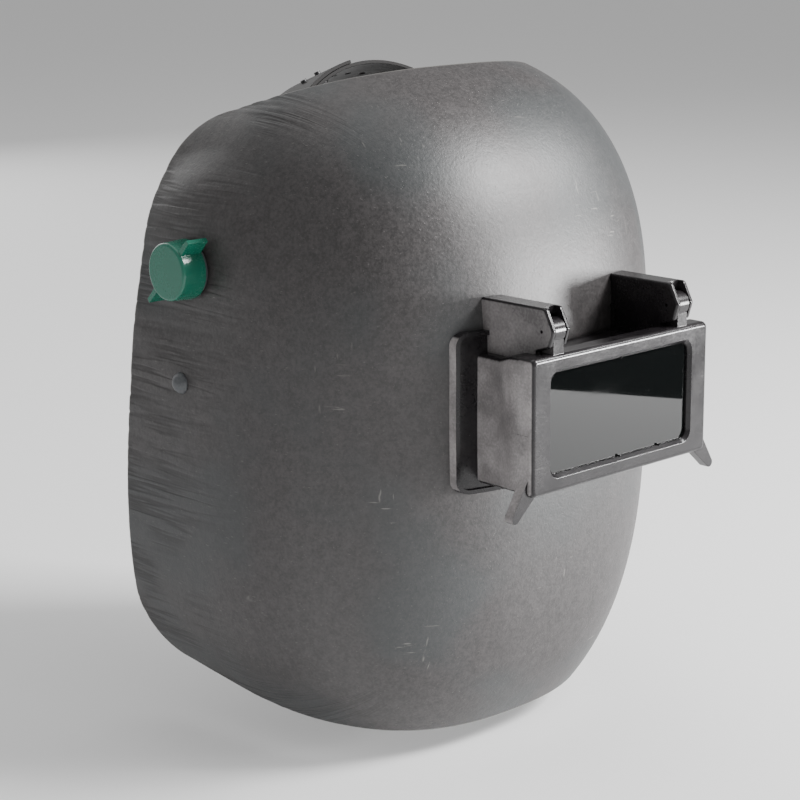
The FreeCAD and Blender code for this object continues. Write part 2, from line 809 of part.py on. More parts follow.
def make_lift_frame():
    """Swinging front frame with its plate pocket, knuckles and lifting horns."""
    body = new_body("frame_moulding", visor_place(size("frame_depth")), TO_FRONT)
    outline = new_sketch(body, "frame_outline")
    draw_rectangle(outline, "Sizes.frame_width", "Sizes.frame_height")
    block = pad(body, outline, "Sizes.frame_depth")
    block = fillet(body, block, "Sizes.frame_round", lambda e: along(e, Vector(0, 0, 1)))
    front = size("frame_depth")
    fillet(body, block, "Sizes.frame_round - 0.8", lambda e: at_height(e, front))
    seat = new_sketch(body, "plate_pocket")
    draw_rectangle(seat, "Sizes.plate_width + 2 * Sizes.plate_clearance",
                   "Sizes.plate_height + 2 * Sizes.plate_clearance")
    pocket(body, seat, "Sizes.frame_depth - Sizes.frame_lip", backwards=True)
    window = new_sketch(body, "window")
    draw_rectangle(window, "Sizes.window_width", "Sizes.window_height")
    opening = pocket(body, window, "Sizes.frame_depth", backwards=True)

    def window_corner(edge):
        spot = edge.CenterOfMass
        inside = abs(spot.x) < size("window_width") / 2 + 0.5
        return along(edge, Vector(0, 0, 1)) and inside

    rounded = fillet(body, opening, "Sizes.window_round", window_corner)
    bevel_names = edges_where(rounded, lambda e: at_height(e, front) and
                              abs(e.CenterOfMass.x) <= size("window_width") / 2 + 1e-3 and
                              abs(e.CenterOfMass.y) <= size("window_height") / 2 + 1e-3)
    bevel = body.newObject("PartDesign::Chamfer", "window_bevel")
    bevel.Base = (rounded, bevel_names)
    bevel.setExpression("Size", "Sizes.frame_lip * 0.6")
    DOC.recompute()
    frame_solid = body.Shape.copy()
    body.Visibility = False
    return frame_solid


def make_front():
    """Fuse the frame with its knuckles and horns."""
    frame = make_lift_frame()
    axis = Vector(0, size("hinge_y"), size("hinge_z"))
    top = size("visor_z") + size("frame_height") / 2
    gap = size("knuckle_gap")
    start = size("lug_inner_x") + size("lug_cheek") + gap
    end = size("lug_outer_x") - size("lug_cheek") - gap
    for _, sign in SIDES:
        reach = Vector(sign * (end - start), 0, 0)
        spot = axis + Vector(sign * start, 0, 0)
        barrel = rod(size("knuckle_radius"), spot, spot + reach)
        low = top - 3
        arm_front = size("visor_front_y") + 1.2
        arm_back = size("hinge_y") + 2.2
        arm = Part.makeBox(end - start, arm_back - arm_front, axis.z - low)
        arm.translate(Vector(min(sign * start, sign * end), arm_front, low))
        pocket_top = size("visor_z") + size("plate_height") / 2 + size("plate_clearance")
        if low < pocket_top:
            raise RuntimeError("the hinge arm reaches into the plate pocket")
        frame = frame.fuse(barrel).fuse(arm)
        bore = size("hinge_pin_radius") + size("hinge_play")
        frame = frame.cut(rod(bore, axis, axis + Vector(sign * BIG, 0, 0)))
        frame = frame.fuse(horn(sign))
    return shape_piece("lift_frame", frame.removeSplitter())


def horn(sign):
    """Tapered lifting horn at a lower corner of the lift front."""
    corner_x = size("frame_width") / 2
    corner_z = size("visor_z") - size("frame_height") / 2
    tip = Vector(sign * (corner_x + size("horn_reach_x")), 0, corner_z - size("horn_reach_z"))
    roots = (Vector(sign * (corner_x - 1.2), 0, corner_z + 9.5),
             Vector(sign * (corner_x - 6.5), 0, corner_z + 1.2))
    inward = (Vector(sign * (corner_x - 4), 0, corner_z + 5) - tip).normalize()
    across = Vector(-inward.z, 0, inward.x) * size("horn_tip_radius") * sign
    blunt = tip + inward * size("horn_tip_radius")
    path = [roots[0], blunt - across, blunt + across, roots[1], roots[0]]
    arc = Part.Arc(path[1], tip, path[2]).toShape()
    wire = Part.Wire([Part.makeLine(path[0], path[1]), arc, Part.makeLine(path[2], path[3]),
                      Part.makeLine(path[3], path[0])])
    front = size("visor_front_y") + size("horn_setback")
    solid = Part.Face(wire).extrude(Vector(0, size("horn_thickness"), 0))
    solid.translate(Vector(0, front, 0))
    space = 2 * size("plate_clearance")
    inside = front_block(size("plate_width") + space, size("plate_height") + space, 0,
                         size("visor_front_y"), back_plane())
    return solid.cut(inside)


def make_hinge_pins():
    """Headed pins through the lugs and knuckles, with a leaf spring behind each knuckle."""
    axis_y, axis_z = size("hinge_y"), size("hinge_z")
    length = "(Sizes.lug_outer_x - Sizes.lug_inner_x)"
    for name, sign in SIDES:
        place = Vector(sign * size("lug_inner_x"), axis_y, axis_z)
        outline = [("Sizes.pin_hole_radius", "0"), ("Sizes.hinge_pin_radius", "0"),
                   ("Sizes.hinge_pin_radius", length + " - Sizes.pin_head_thickness"),
                   ("Sizes.pin_head_radius", length + " - Sizes.pin_head_thickness"),
                   ("Sizes.pin_head_radius", length), ("Sizes.pin_hole_radius", length)]
        turned_piece("hinge_pin_" + name, outline, place, to_side(sign))
    for name, sign in SIDES:
        start = size("lug_inner_x") + size("lug_cheek") + size("knuckle_gap")
        end = size("lug_outer_x") - size("lug_cheek") - size("knuckle_gap")
        leaf = DOC.addObject("Part::Box", "detent_leaf_" + name)
        leaf.Length = end - start
        leaf.Width = size("knuckle_gap")
        leaf.Height = size("knuckle_radius") * 2
        spot_y = axis_y + size("knuckle_radius") + size("knuckle_gap")
        leaf.Placement.Base = Vector(min(sign * start, sign * end), spot_y,
                                     axis_z - size("knuckle_radius"))
        keep(leaf, "detent_leaf_" + name)


# ---------------------------------------------------------------- pivot hardware


def make_pivots():
    """Washers, studs, wing knobs, stop arms and stop pegs of both sides."""
    for name, sign in SIDES:
        turn = to_side(sign)

        def spot(x):
            return Vector(sign * x, 0, 0)

        seat = size("seat_x")
        bore = "Sizes.stud_radius + Sizes.pivot_play"
        ring_piece("friction_washer_" + name, "Sizes.washer_radius", bore,
                   "Sizes.washer_thickness", spot(seat + size("seat_gap")), turn)
        inside = seat - size("shell_wall") - size("spacer_thickness") - size("seat_gap")
        ring_piece("inner_spacer_" + name, "Sizes.spacer_radius", bore,
                   "Sizes.spacer_thickness", spot(inside), turn)
        make_stop_arm(name, sign)
        make_stud(name, sign)
        make_knob(name, sign)
        make_stop_peg(name, sign)


def arm_plane():
    """Distance of the stop arms' outer faces from the middle."""
    inside = size("seat_x") - size("shell_wall") - size("spacer_thickness")
    return inside - size("side_gap")


def make_stop_arm(name, sign):
    """Arm that the stop peg rests against when the shell is down."""
    outer = arm_plane()
    thickness = size("arm_thickness")
    start, end = Vector(sign * (outer - thickness), 0, 0), Vector(sign * outer, 0, 0)
    hub = rod(size("spacer_radius"), start, end)
    reach = math.hypot(size("peg_y"), size("peg_z"))
    finger = Part.makeBox(thickness, size("stop_arm_width"), reach + 6)
    offset = size("peg_shank_radius") + size("stop_gap")
    finger.translate(Vector(min(start.x, end.x), offset, -(reach + 6)))
    lean = math.degrees(math.atan2(size("peg_y"), -size("peg_z")))
    finger.rotate(Vector(0, 0, 0), Vector(1, 0, 0), lean)
    arm = hub.fuse(finger)
    arm = arm.cut(rod(size("stud_radius"), Vector(0, 0, 0), Vector(sign * BIG, 0, 0)))
    arm = arm.removeSplitter()
    shape_piece("stop_arm_" + name, arm)


def make_stud(name, sign):
    """Stud from the side bracket out into the knob's insert, without its thread."""
    head_x = bracket_step()
    tip = size("seat_x") + size("washer_thickness") + size("insert_length")
    length = tip - head_x
    body = new_body("pivot_stud_" + name, Vector(sign * head_x, 0, 0), to_side(sign))
    shank = new_sketch(body, "stud_shank_" + name)
    draw_circle(shank, "Sizes.stud_radius")
    pad(body, shank, str(length))
    head = new_sketch(body, "stud_head_" + name)
    draw_circle(head, "Sizes.stud_head_radius")
    pad(body, head, "Sizes.stud_head_height", backwards=True)
    keep(body, "pivot_stud_" + name)


def bracket_step():
    """Distance of the stud head's outer face from the middle."""
    return size("band_half_width") + size("band_thickness") + size("bracket_reach")


def make_knob(name, sign):
    """Wing knob: tapered barrel with two fins, moulded round a brass insert."""
    base_x = size("seat_x") + size("washer_thickness") + size("side_gap")
    body = new_body("wing_knob_" + name, Vector(sign * base_x, 0, 0), to_side(sign))
    profile = new_sketch(body, "knob_profile_" + name, "XZ_Plane")
    bore = "Sizes.insert_radius"
    depth = "Sizes.insert_length + 0.6"
    draw_polygon(profile, [(bore, "0"), ("Sizes.knob_base_radius", "0"),
                           ("Sizes.knob_face_radius", "Sizes.knob_thickness"),
                           ("0", "Sizes.knob_thickness"), ("0", depth), (bore, depth)])
    barrel = revolve(body, profile)
    face = size("knob_thickness")
    rim = size("knob_face_radius") - 0.5
    fillet(body, barrel, "Sizes.knob_edge_round",
           lambda e: at_height(e, face) and e.BoundBox.XLength > rim)
    fins = new_sketch(body, "knob_fins_" + name)
    half = "Sizes.fin_thickness / 2"
    near = "Sizes.insert_radius + 3"
    draw_polygon(fins, [("-(%s)" % half, near), (half, near), ("(%s) * 0.7" % half,
                 "Sizes.fin_reach"), ("-(%s) * 0.7" % half, "Sizes.fin_reach")])
    fin = pad(body, fins, "Sizes.knob_thickness - Sizes.fin_inset")
    pair = body.newObject("PartDesign::PolarPattern", "fin_pair_" + name)
    pair.Originals = [fin]
    pair.Axis = (origin_line(body, "Z_Axis"), [""])
    pair.Angle = 360
    pair.Occurrences = 2
    body.Tip = pair
    DOC.recompute()
    body.Placement = Placement(Vector(sign * base_x, 0, 0),
                               to_side(sign) * Rotation(Vector(0, 0, 1), size("fin_turn")))
    keep(body, "wing_knob_" + name)
    reach = "Sizes.insert_length"
    ring_piece("knob_insert_" + name, bore, "Sizes.stud_radius + Sizes.thread_play", reach,
               Vector(sign * base_x, 0, 0), to_side(sign))


def origin_line(body, role):
    """The body's own origin axis with the given role."""
    return [f for f in body.Origin.OriginFeatures if f.Role == role][0]


def make_stop_peg(name, sign):
    """Domed peg through the fibre, held by a push-on nut inside."""
    skin = size("shell_half_width") + size("seal_gap")
    head = size("peg_head_radius")
    rise = size("peg_head_height")
    shank = size("peg_shank_radius")
    reach = size("peg_reach") + size("shell_wall")
    dome = (head * head + rise * rise) / (2 * rise)
    centre = peg_spot(sign, skin + rise - dome)
    ball = Part.makeSphere(dome, centre)
    cap = ball.common(rod(head, peg_spot(sign, skin), peg_spot(sign, skin + rise + 1)))
    stem = rod(shank, peg_spot(sign, skin - reach), peg_spot(sign, skin))
    foot = rod(head, peg_spot(sign, skin - 1.5), peg_spot(sign, skin)).cut(OUTER)
    peg = cap.fuse(foot).fuse(stem)
    shape_piece("stop_peg_" + name, peg.removeSplitter())
    inner_face = size("shell_half_width") - size("shell_wall") - 1.0
    place = peg_spot(sign, inner_face - size("nut_thickness"))
    ring_piece("peg_nut_" + name, "Sizes.nut_radius", "Sizes.peg_shank_radius",
               "Sizes.nut_thickness", place, to_side(sign))


# ---------------------------------------------------------------- headgear


def oval_prism(grow, low, high):
    """Solid oval of the headband's shape, grown outwards, between two heights."""
    major = size("band_half_length") + grow
    minor = size("band_half_width") + grow
    centre = Vector(0, size("band_centre_y"), low)
    oval = Part.Ellipse(centre + Vector(0, major, 0), centre + Vector(minor, 0, 0), centre)
    face = Part.Face(Part.Wire([oval.toShape()]))
    return face.extrude(Vector(0, 0, high - low))


def oval_band(start, thickness, low, high, y_from, y_to):
    """Piece of an oval strip between two y planes."""
    ring = oval_prism(start + thickness, low, high).cut(oval_prism(start, low - 1, high + 1))
    window = Part.makeBox(2 * BIG, y_to - y_from, 2 * BIG)
    window.translate(Vector(-BIG, y_from, -BIG))
    return ring.common(window)


def make_bands():
    """Headband, sweatband, toothed tails and nape pad."""
    half = size("band_height") / 2
    rear = size("band_rear_y")
    band = oval_band(0, size("band_thickness"), -half, half, -BIG, rear)
    for _, sign in SIDES:
        hole = strap_spot(sign)
        reach = Vector(sign * 20, 0, 0)
        band = band.cut(rod(size("strap_peg_radius"), hole - reach, hole + reach))
    shape_piece("front_band", band)
    pad_gap = size("soft_gap")
    tall = size("sweatband_height") / 2
    pad_shape = oval_band(-pad_gap - size("sweatband_thickness"), size("sweatband_thickness"),
                          -tall, tall, -BIG, size("sweatband_rear_y"))
    shape_piece("sweatband", pad_shape)
    for name, sign in SIDES:
        shape_piece("band_tail_" + name, band_tail(sign))


def band_tail(sign):
    """Toothed tail that runs from the front band round to the pinion."""
    height = size("tail_height")
    gap = size("tail_gap")
    thick = size("tail_thickness")
    start = size("band_thickness") + gap
    # the left tail runs above the pinion, the right one below it
    level = sign * (size("pinion_radius") + 0.6 + height / 2)
    low, high = level - height / 2, level + height / 2
    strip = oval_band(start, thick, low, high, size("band_rear_y") - 18, BIG)
    side = Part.makeBox(BIG, 2 * BIG, 2 * BIG)
    side.translate(Vector(-24, -BIG, -BIG))
    strip = strip.common(side)
    tooth_edge = low if sign > 0 else high
    spread = math.pi * size("pinion_radius") / 5
    for step in range(-4, 5):
        notch = Part.makeBox(spread / 2, 20, 2.4)
        notch.translate(Vector(step * spread - spread / 4, size("ratchet_y"),
                               tooth_edge - 1.2))
        strip = strip.cut(notch)
    if sign < 0:
        strip = strip.mirror(Vector(0, 0, 0), Vector(1, 0, 0))
    return strip


def strap_spot(sign):
    """Hinge peg of the crown strap on one side."""
    return Vector(sign * size("band_half_width"), size("strap_hinge_y"), 0)


def strap_arch(grow, thickness, x_from, x_to):
    """Piece of the arched crown strap between two x planes, before it leans."""
    def half_oval(extra):
        wide = size("strap_half_width") + extra
        tall = size("strap_apex") + extra
        major, minor = (tall, wide) if tall > wide else (wide, tall)
        first = Vector(0, 0, major) if tall > wide else Vector(major, 0, 0)
        second = Vector(minor, 0, 0) if tall > wide else Vector(0, 0, minor)
        oval = Part.Ellipse(first, second, Vector(0, 0, 0))
        face = Part.Face(Part.Wire([oval.toShape()]))
        solid = face.extrude(Vector(0, size("strap_width"), 0))
        box = solid.BoundBox
        solid.translate(Vector(0, -box.YMin - size("strap_width") / 2, 0))
        return solid

    ring = half_oval(grow + thickness).cut(half_oval(grow))
    window = Part.makeBox(x_to - x_from, 2 * BIG, BIG)
    window.translate(Vector(x_from, -BIG, -8))
    return ring.common(window)


def lean_strap(shape):
    """Lean a strap piece back about its hinge pegs."""
    shape.rotate(Vector(0, 0, 0), Vector(1, 0, 0), -size("strap_lean"))
    shape.translate(Vector(0, size("strap_hinge_y"), 0))
    return shape


def strap_station(x):
    """Spot on the strap's outer face at an x, and the face's normal there, before the lean."""
    wide, tall = size("strap_half_width"), size("strap_apex")
    turn = math.asin(x / wide)
    spot = Vector(x, 0, tall * math.cos(turn))
    return spot, Vector(math.sin(turn) / wide, 0, math.cos(turn) / tall).normalize()


def lap_peg(x):
    """Button peg that locks the two strap halves, its head on the inner side."""
    thick = size("strap_thickness")
    spot, normal = strap_station(x)
    inner = -thick - 0.1
    stem = rod(size("strap_hole_radius"), spot + normal * inner, spot + normal * (thick + 1.4))
    head = rod(size("lap_peg_head_radius"), spot + normal * (inner - 1.6), spot + normal * inner)
    return lean_strap(stem.fuse(head).removeSplitter())


def make_crown_strap():
    """Two lapped strap halves, their lap pegs and the two hinge pegs."""
    thick = size("strap_thickness")
    left = strap_arch(-thick, thick, size("strap_lap_from"), BIG)
    right = strap_arch(size("strap_lap_gap"), thick, -BIG, size("strap_lap_to"))
    spacing = size("strap_hole_spacing")
    locked = (-2 * spacing, -3 * spacing)
    for step in range(-3, 5):
        spot, normal = strap_station(step * spacing)
        drill = rod(size("strap_hole_radius"), spot - normal * 8, spot + normal * 8)
        left = left.cut(drill)
        if step * spacing in locked:
            right = right.cut(drill)
    hinge = size("strap_peg_radius") + size("pivot_play")
    bore = rod(hinge, Vector(-BIG, 0, 0), Vector(BIG, 0, 0))
    shape_piece("crown_strap_left", lean_strap(left.cut(bore)))
    shape_piece("crown_strap_right", lean_strap(right.cut(bore)))
    shape_piece("crown_pegs", Part.makeCompound([lap_peg(x) for x in locked]))
    start = "Sizes.strap_half_width - Sizes.strap_peg_inset"
    reach = "Sizes.band_half_width + Sizes.band_thickness - (%s) - 0.1" % start
    wide = "Sizes.strap_peg_radius * 1.8"
    for name, sign in SIDES:
        outline = [("0", "0"), (wide, "0"), (wide, "Sizes.strap_peg_head"),
                   ("Sizes.strap_peg_radius", "Sizes.strap_peg_head"),
                   ("Sizes.strap_peg_radius", reach), ("0", reach)]
        place = Vector(sign * number(start), size("strap_hinge_y"), 0)
        turned_piece("strap_peg_" + name, outline, place, to_side(sign))


def make_brackets():
    """Side brackets that carry the studs out from the headband to the shell."""
    inside = size("band_half_width") + size("band_thickness")
    outside = arm_plane() - size("arm_thickness")
    root = size("band_half_width") - size("bracket_root")
    length, height = size("bracket_length"), size("band_height") - 2
    head = size("stud_head_radius") + 0.2
    for name, sign in SIDES:
        foot = Part.makeBox(inside - root + 4, length, height)
        foot.translate(Vector(root, -length / 2, -height / 2))
        drum = Part.makeCone(size("bracket_drum_radius"), size("spacer_radius") - 2,
                             outside - root, Vector(root, 0, 0), Vector(1, 0, 0))
        block = foot.fuse(drum).cut(oval_prism(size("band_thickness"), -BIG, BIG))
        block = block.cut(rod(head, Vector(root, 0, 0), Vector(bracket_step(), 0, 0)))
        block = block.cut(rod(size("stud_radius"), Vector(root, 0, 0), Vector(BIG, 0, 0)))
        block = block.removeSplitter()
        if sign < 0:
            block = block.mirror(Vector(0, 0, 0), Vector(1, 0, 0))
        shape_piece("side_bracket_" + name, block)


def make_ratchet():
    """Rear ratchet: housing with its cover plate, pinion, dial and nape pad."""
    width, height = size("ratchet_width"), size("ratchet_height")
    depth, wall = size("ratchet_depth"), size("ratchet_wall")
    inner_y = size("ratchet_y")
    face_y = inner_y + depth
    corner = size("ratchet_round")
    box = front_block(width, height, corner, inner_y + wall, face_y, centre_z=0)
    tunnel = Part.makeBox(2 * width, depth - 2 * wall, height - 2 * wall)
    tunnel.translate(Vector(-width, inner_y + wall, -height / 2 + wall))
    middle = Vector(0, inner_y + wall, 0)
    bore = rod(shaft_radius() + size("pivot_play"), middle, middle + Vector(0, depth, 0))
    shape_piece("ratchet_housing", box.cut(tunnel).cut(bore).removeSplitter())
    cover = front_block(width, height, corner, inner_y, inner_y + wall, centre_z=0)
    shape_piece("ratchet_cover", cover)
    gap = size("soft_gap")
    cushion = front_block(width - 4, height + 4, corner + 1,
                          inner_y - gap - size("nape_thickness"), inner_y - gap, centre_z=0)
    shape_piece("nape_pad", cushion)
    make_dial(face_y)
    make_pinion(face_y)


def shaft_radius():
    """Radius of the dial's shaft, inside the pinion's teeth."""
    return size("pinion_radius") - 2


def make_dial(face_y):
    """Dial with finger grips round its rim."""
    body = new_body("ratchet_dial", Vector(0, face_y + size("side_gap"), 0), TO_REAR)
    outline = new_sketch(body, "dial_outline")
    draw_circle(outline, "Sizes.dial_radius")
    disc = pad(body, outline, "Sizes.dial_depth")
    far = size("dial_depth")
    fillet(body, disc, "2", lambda e: at_height(e, far))
    grip = new_sketch(body, "dial_grip")
    draw_circle(grip, "Sizes.grip_radius", ("Sizes.dial_radius + 0.6", "0"))
    cut = pocket(body, grip, "Sizes.dial_depth", backwards=True)
    grips = body.newObject("PartDesign::PolarPattern", "dial_grips")
    grips.Originals = [cut]
    grips.Axis = (origin_line(body, "Z_Axis"), [""])
    grips.Angle = 360
    grips.Occurrences = 18
    body.Tip = grips
    DOC.recompute()
    keep(body, "ratchet_dial")


def make_pinion(face_y):
    """Toothed pinion on the dial's shaft, between the two band tails."""
    start = face_y + size("side_gap")
    length = "Sizes.ratchet_depth - Sizes.ratchet_wall - 1"
    body = new_body("ratchet_pinion", Vector(0, start, 0), TO_FRONT)
    hub = new_sketch(body, "pinion_shaft")
    draw_circle(hub, "Sizes.pinion_radius - 2")
    pad(body, hub, length)
    tooth = new_sketch(body, "pinion_tooth", offset="Sizes.ratchet_wall + 1")
    half = "Sizes.pinion_radius * 0.14"
    draw_polygon(tooth, [("-(%s) * 1.6" % half, "Sizes.pinion_radius - 2.6"),
                         ("(%s) * 1.6" % half, "Sizes.pinion_radius - 2.6"),
                         (half, "Sizes.pinion_radius"), ("-(%s)" % half, "Sizes.pinion_radius")])
    block = pad(body, tooth, "Sizes.ratchet_depth - 2 * Sizes.ratchet_wall - 2")
    ring = body.newObject("PartDesign::PolarPattern", "pinion_ring")
    ring.Originals = [block]
    ring.Axis = (origin_line(body, "Z_Axis"), [""])
    ring.Angle = 360
    ring.Occurrences = int(size("pinion_teeth"))
    body.Tip = ring
    DOC.recompute()
    keep(body, "ratchet_pinion")


# ---------------------------------------------------------------- build and export


def check_and_export():
    """Stop on any failed object or bad shape, then write one STEP file per piece."""
    DOC.recompute()
    for item in DOC.Objects:
        if "Invalid" in item.State or "Error" in item.State:
            raise RuntimeError("%s is %s" % (item.Label, item.State))
    os.makedirs("parts", exist_ok=True)
    for old in os.listdir("parts"):
        os.remove(os.path.join("parts", old))
    for piece in PIECES:
        shape = piece.Shape
        if shape.isNull() or not shape.isValid():
            raise RuntimeError("%s has a bad shape" % piece.Label)
        shape.exportStep(os.path.join("parts", piece.Label + ".step"))
        print("%-22s %9.1f mm3, solids %d" % (piece.Label, shape.Volume, len(shape.Solids)))


make_shell()
make_visor_housing()
make_clamp_and_screws()
make_plates()
make_front()
make_hinge_pins()
make_pivots()
make_bands()
make_crown_strap()
make_brackets()
make_ratchet()
check_and_export()
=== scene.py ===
"""Looks of a pressed fibre welding helmet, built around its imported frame."""

from __future__ import annotations

import json
import logging
import math
from dataclasses import dataclass
from enum import Enum
from typing import Any, Sequence

import bmesh
import bpy
import numpy as np
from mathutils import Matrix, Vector, noise

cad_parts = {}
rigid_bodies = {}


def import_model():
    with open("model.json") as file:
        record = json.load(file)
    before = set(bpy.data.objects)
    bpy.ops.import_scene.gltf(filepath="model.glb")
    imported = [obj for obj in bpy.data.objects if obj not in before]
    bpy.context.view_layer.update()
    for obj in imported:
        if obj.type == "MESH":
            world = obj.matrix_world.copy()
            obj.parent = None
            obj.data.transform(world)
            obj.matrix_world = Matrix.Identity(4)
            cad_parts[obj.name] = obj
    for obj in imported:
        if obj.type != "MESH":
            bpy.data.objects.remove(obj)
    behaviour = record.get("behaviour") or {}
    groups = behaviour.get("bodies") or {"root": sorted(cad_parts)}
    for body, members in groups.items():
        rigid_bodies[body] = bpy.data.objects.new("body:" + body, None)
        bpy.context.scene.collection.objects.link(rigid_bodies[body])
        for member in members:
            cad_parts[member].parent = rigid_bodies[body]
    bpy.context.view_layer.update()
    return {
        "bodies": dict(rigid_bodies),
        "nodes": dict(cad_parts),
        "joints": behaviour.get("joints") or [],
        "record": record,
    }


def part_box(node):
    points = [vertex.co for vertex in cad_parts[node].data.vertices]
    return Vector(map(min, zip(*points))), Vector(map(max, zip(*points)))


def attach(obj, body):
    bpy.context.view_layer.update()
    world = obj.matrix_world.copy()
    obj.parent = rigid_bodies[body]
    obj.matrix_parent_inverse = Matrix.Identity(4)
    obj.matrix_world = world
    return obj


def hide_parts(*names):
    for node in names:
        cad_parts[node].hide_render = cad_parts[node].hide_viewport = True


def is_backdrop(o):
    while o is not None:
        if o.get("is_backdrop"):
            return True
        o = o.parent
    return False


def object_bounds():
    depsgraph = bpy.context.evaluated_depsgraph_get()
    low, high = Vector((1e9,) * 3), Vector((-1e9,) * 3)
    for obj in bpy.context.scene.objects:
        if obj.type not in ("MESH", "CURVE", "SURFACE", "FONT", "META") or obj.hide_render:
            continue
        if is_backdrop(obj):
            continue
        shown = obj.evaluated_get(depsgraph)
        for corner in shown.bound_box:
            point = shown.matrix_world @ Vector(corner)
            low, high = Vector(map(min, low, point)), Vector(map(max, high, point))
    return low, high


LOG = logging.getLogger("welding_helmet")
MM = 0.001
WELD_GAP = 0.004 * MM
FLAT_DEGREES = 0.08
SMOOTH_DEGREES = 30
SIDES = (("left", 1), ("right", -1))
Colour = tuple[float, float, float]


# ---------------------------------------------------------------- shader writing


class Signal:
    """A shader socket that can be used in Python arithmetic."""

    def __init__(self, graph: "Graph", socket: bpy.types.NodeSocket) -> None:
        """Wrap one output socket of a graph.

        Args:
            graph: The node graph that the socket belongs to.
            socket: The output socket.
        """
        self.graph = graph
        self.socket = socket

    def _maths(self, operation: str, first: Any, second: Any = 0.0) -> "Signal":
        """Add one Math node and return its result."""
        return self.graph.node("ShaderNodeMath", {"operation": operation}, {0: first, 1: second})

    def __add__(self, other: Any) -> "Signal":
        """Return self + other."""
        return self._maths("ADD", self, other)

    def __radd__(self, other: Any) -> "Signal":
        """Return other + self."""
        return self._maths("ADD", other, self)

    def __sub__(self, other: Any) -> "Signal":
        """Return self - other."""
        return self._maths("SUBTRACT", self, other)

    def __rsub__(self, other: Any) -> "Signal":
        """Return other - self."""
        return self._maths("SUBTRACT", other, self)

    def __mul__(self, other: Any) -> "Signal":
        """Return self * other."""
        return self._maths("MULTIPLY", self, other)

    def __rmul__(self, other: Any) -> "Signal":
        """Return other * self."""
        return self._maths("MULTIPLY", other, self)

    def __abs__(self) -> "Signal":
        """Return the size of self without its sign."""
        return self._maths("ABSOLUTE", self)

    def step(self, low: float, high: float) -> "Signal":
        """Rise smoothly from 0 to 1 as the signal goes from low to high."""
        settings = {"interpolation_type": "SMOOTHSTEP"}
        return self.graph.node("ShaderNodeMapRange", settings, {0: self, 1: low, 2: high})


class Graph:
    """One material's node graph, with its Principled shader."""

    def __init__(self, name: str) -> None:
        """Start a material.

        Args:
            name: The material's name.
        """
        self.material = bpy.data.materials.new(name)
        self.material.use_nodes = True
        self.tree = self.material.node_tree
        self.shader = self.tree.nodes["Principled BSDF"]

    def node(self, kind: str, settings: dict[str, Any] | None = None,
             inputs: dict[Any, Any] | None = None, output: Any = 0) -> Signal:
        """Add a node of any kind.

        Args:
            kind: The node's type name.
            settings: Properties, set first; "stops" sets a ramp's stops.
            inputs: Values or signals by socket name or number.
            output: Name or number of the output to return.

        Returns:
            The chosen output.
        """
        made = self.tree.nodes.new(kind)
        for key, value in (settings or {}).items():
            if key == "stops":
                self._set_stops(made.color_ramp, value)
            else:
                setattr(made, key, value)
        for key, value in (inputs or {}).items():
            self._feed(made.inputs[key], value)
        return Signal(self, made.outputs[output])

    def _set_stops(self, ramp: bpy.types.ColorRamp, stops: Sequence[tuple[float, Colour]]) -> None:
        """Give a ramp its stops.

        Args:
            ramp: The colour ramp, which starts with two stops.
            stops: Position and colour of each stop, in order.
        """
        while len(ramp.elements) < len(stops):
            ramp.elements.new(0.5)
        for element, (position, colour) in zip(ramp.elements, stops):
            element.position = position
            element.color = (*colour, 1.0)

    def _feed(self, socket: bpy.types.NodeSocket, value: Any) -> None:
        """Link a signal to a socket, or set the socket's own value.

        Args:
            socket: The input socket.
            value: A signal, a number or a tuple.
        """
        if isinstance(value, Signal):
            self.tree.links.new(value.socket, socket)
        elif isinstance(value, tuple) and len(value) == 3 and socket.type == "RGBA":
            socket.default_value = (*value, 1.0)
        else:
            socket.default_value = value

    def surface(self, **sockets: Any) -> bpy.types.Material:
        """Feed the Principled shader and finish the material.

        Args:
            **sockets: Values or signals, by socket name with _ for each space.

        Returns:
            The finished material.
        """
        for name, value in sockets.items():
            self._feed(self.shader.inputs[name.replace("_", " ")], value)
        return self.material

    def place(self) -> Signal:
        """Return the point in the object's own frame, in metres."""
        return self.node("ShaderNodeTexCoord", output="Object")

    def part(self, point: Signal, axis: int) -> Signal:
        """Return one coordinate of a point."""
        return self.node("ShaderNodeSeparateXYZ", inputs={0: point}, output=axis)

    def spot(self, across: Signal, along: Signal) -> Signal:
        """Join two numbers into a point."""
        return self.node("ShaderNodeCombineXYZ", inputs={0: across, 1: along})

    def stretched(self, point: Signal, scale: Colour, turn: Colour = (0.0, 0.0, 0.0)) -> Signal:
        """Turn a point by radians about each axis, then scale it along each axis."""
        return self.node("ShaderNodeMapping", {"vector_type": "POINT"},
                         {"Vector": point, "Rotation": turn, "Scale": scale})

    def cloud(self, point: Signal, scale: float, detail: float = 3.0, rough: float = 0.55) -> Signal:
        """Add smooth noise from 0 to 1, with a scale in waves per metre."""
        return self.node("ShaderNodeTexNoise", {"noise_dimensions": "3D"},
                         {"Vector": point, "Scale": scale, "Detail": detail, "Roughness": rough})

    def blend(self, factor: Any, first: Any, second: Any) -> Signal:
        """Mix two colours: factor 0 gives the first, 1 the second."""
        return self.node("ShaderNodeMix", {"data_type": "RGBA"}, {0: factor, 6: first, 7: second}, 2)

    def bump(self, height: Any, depth: float) -> Signal:
        """Turn a height from 0 to 1 into a normal; depth is the height of 1, in metres."""
        return self.node("ShaderNodeBump", inputs={"Height": height, "Distance": depth})


# ---------------------------------------------------------------- finishes


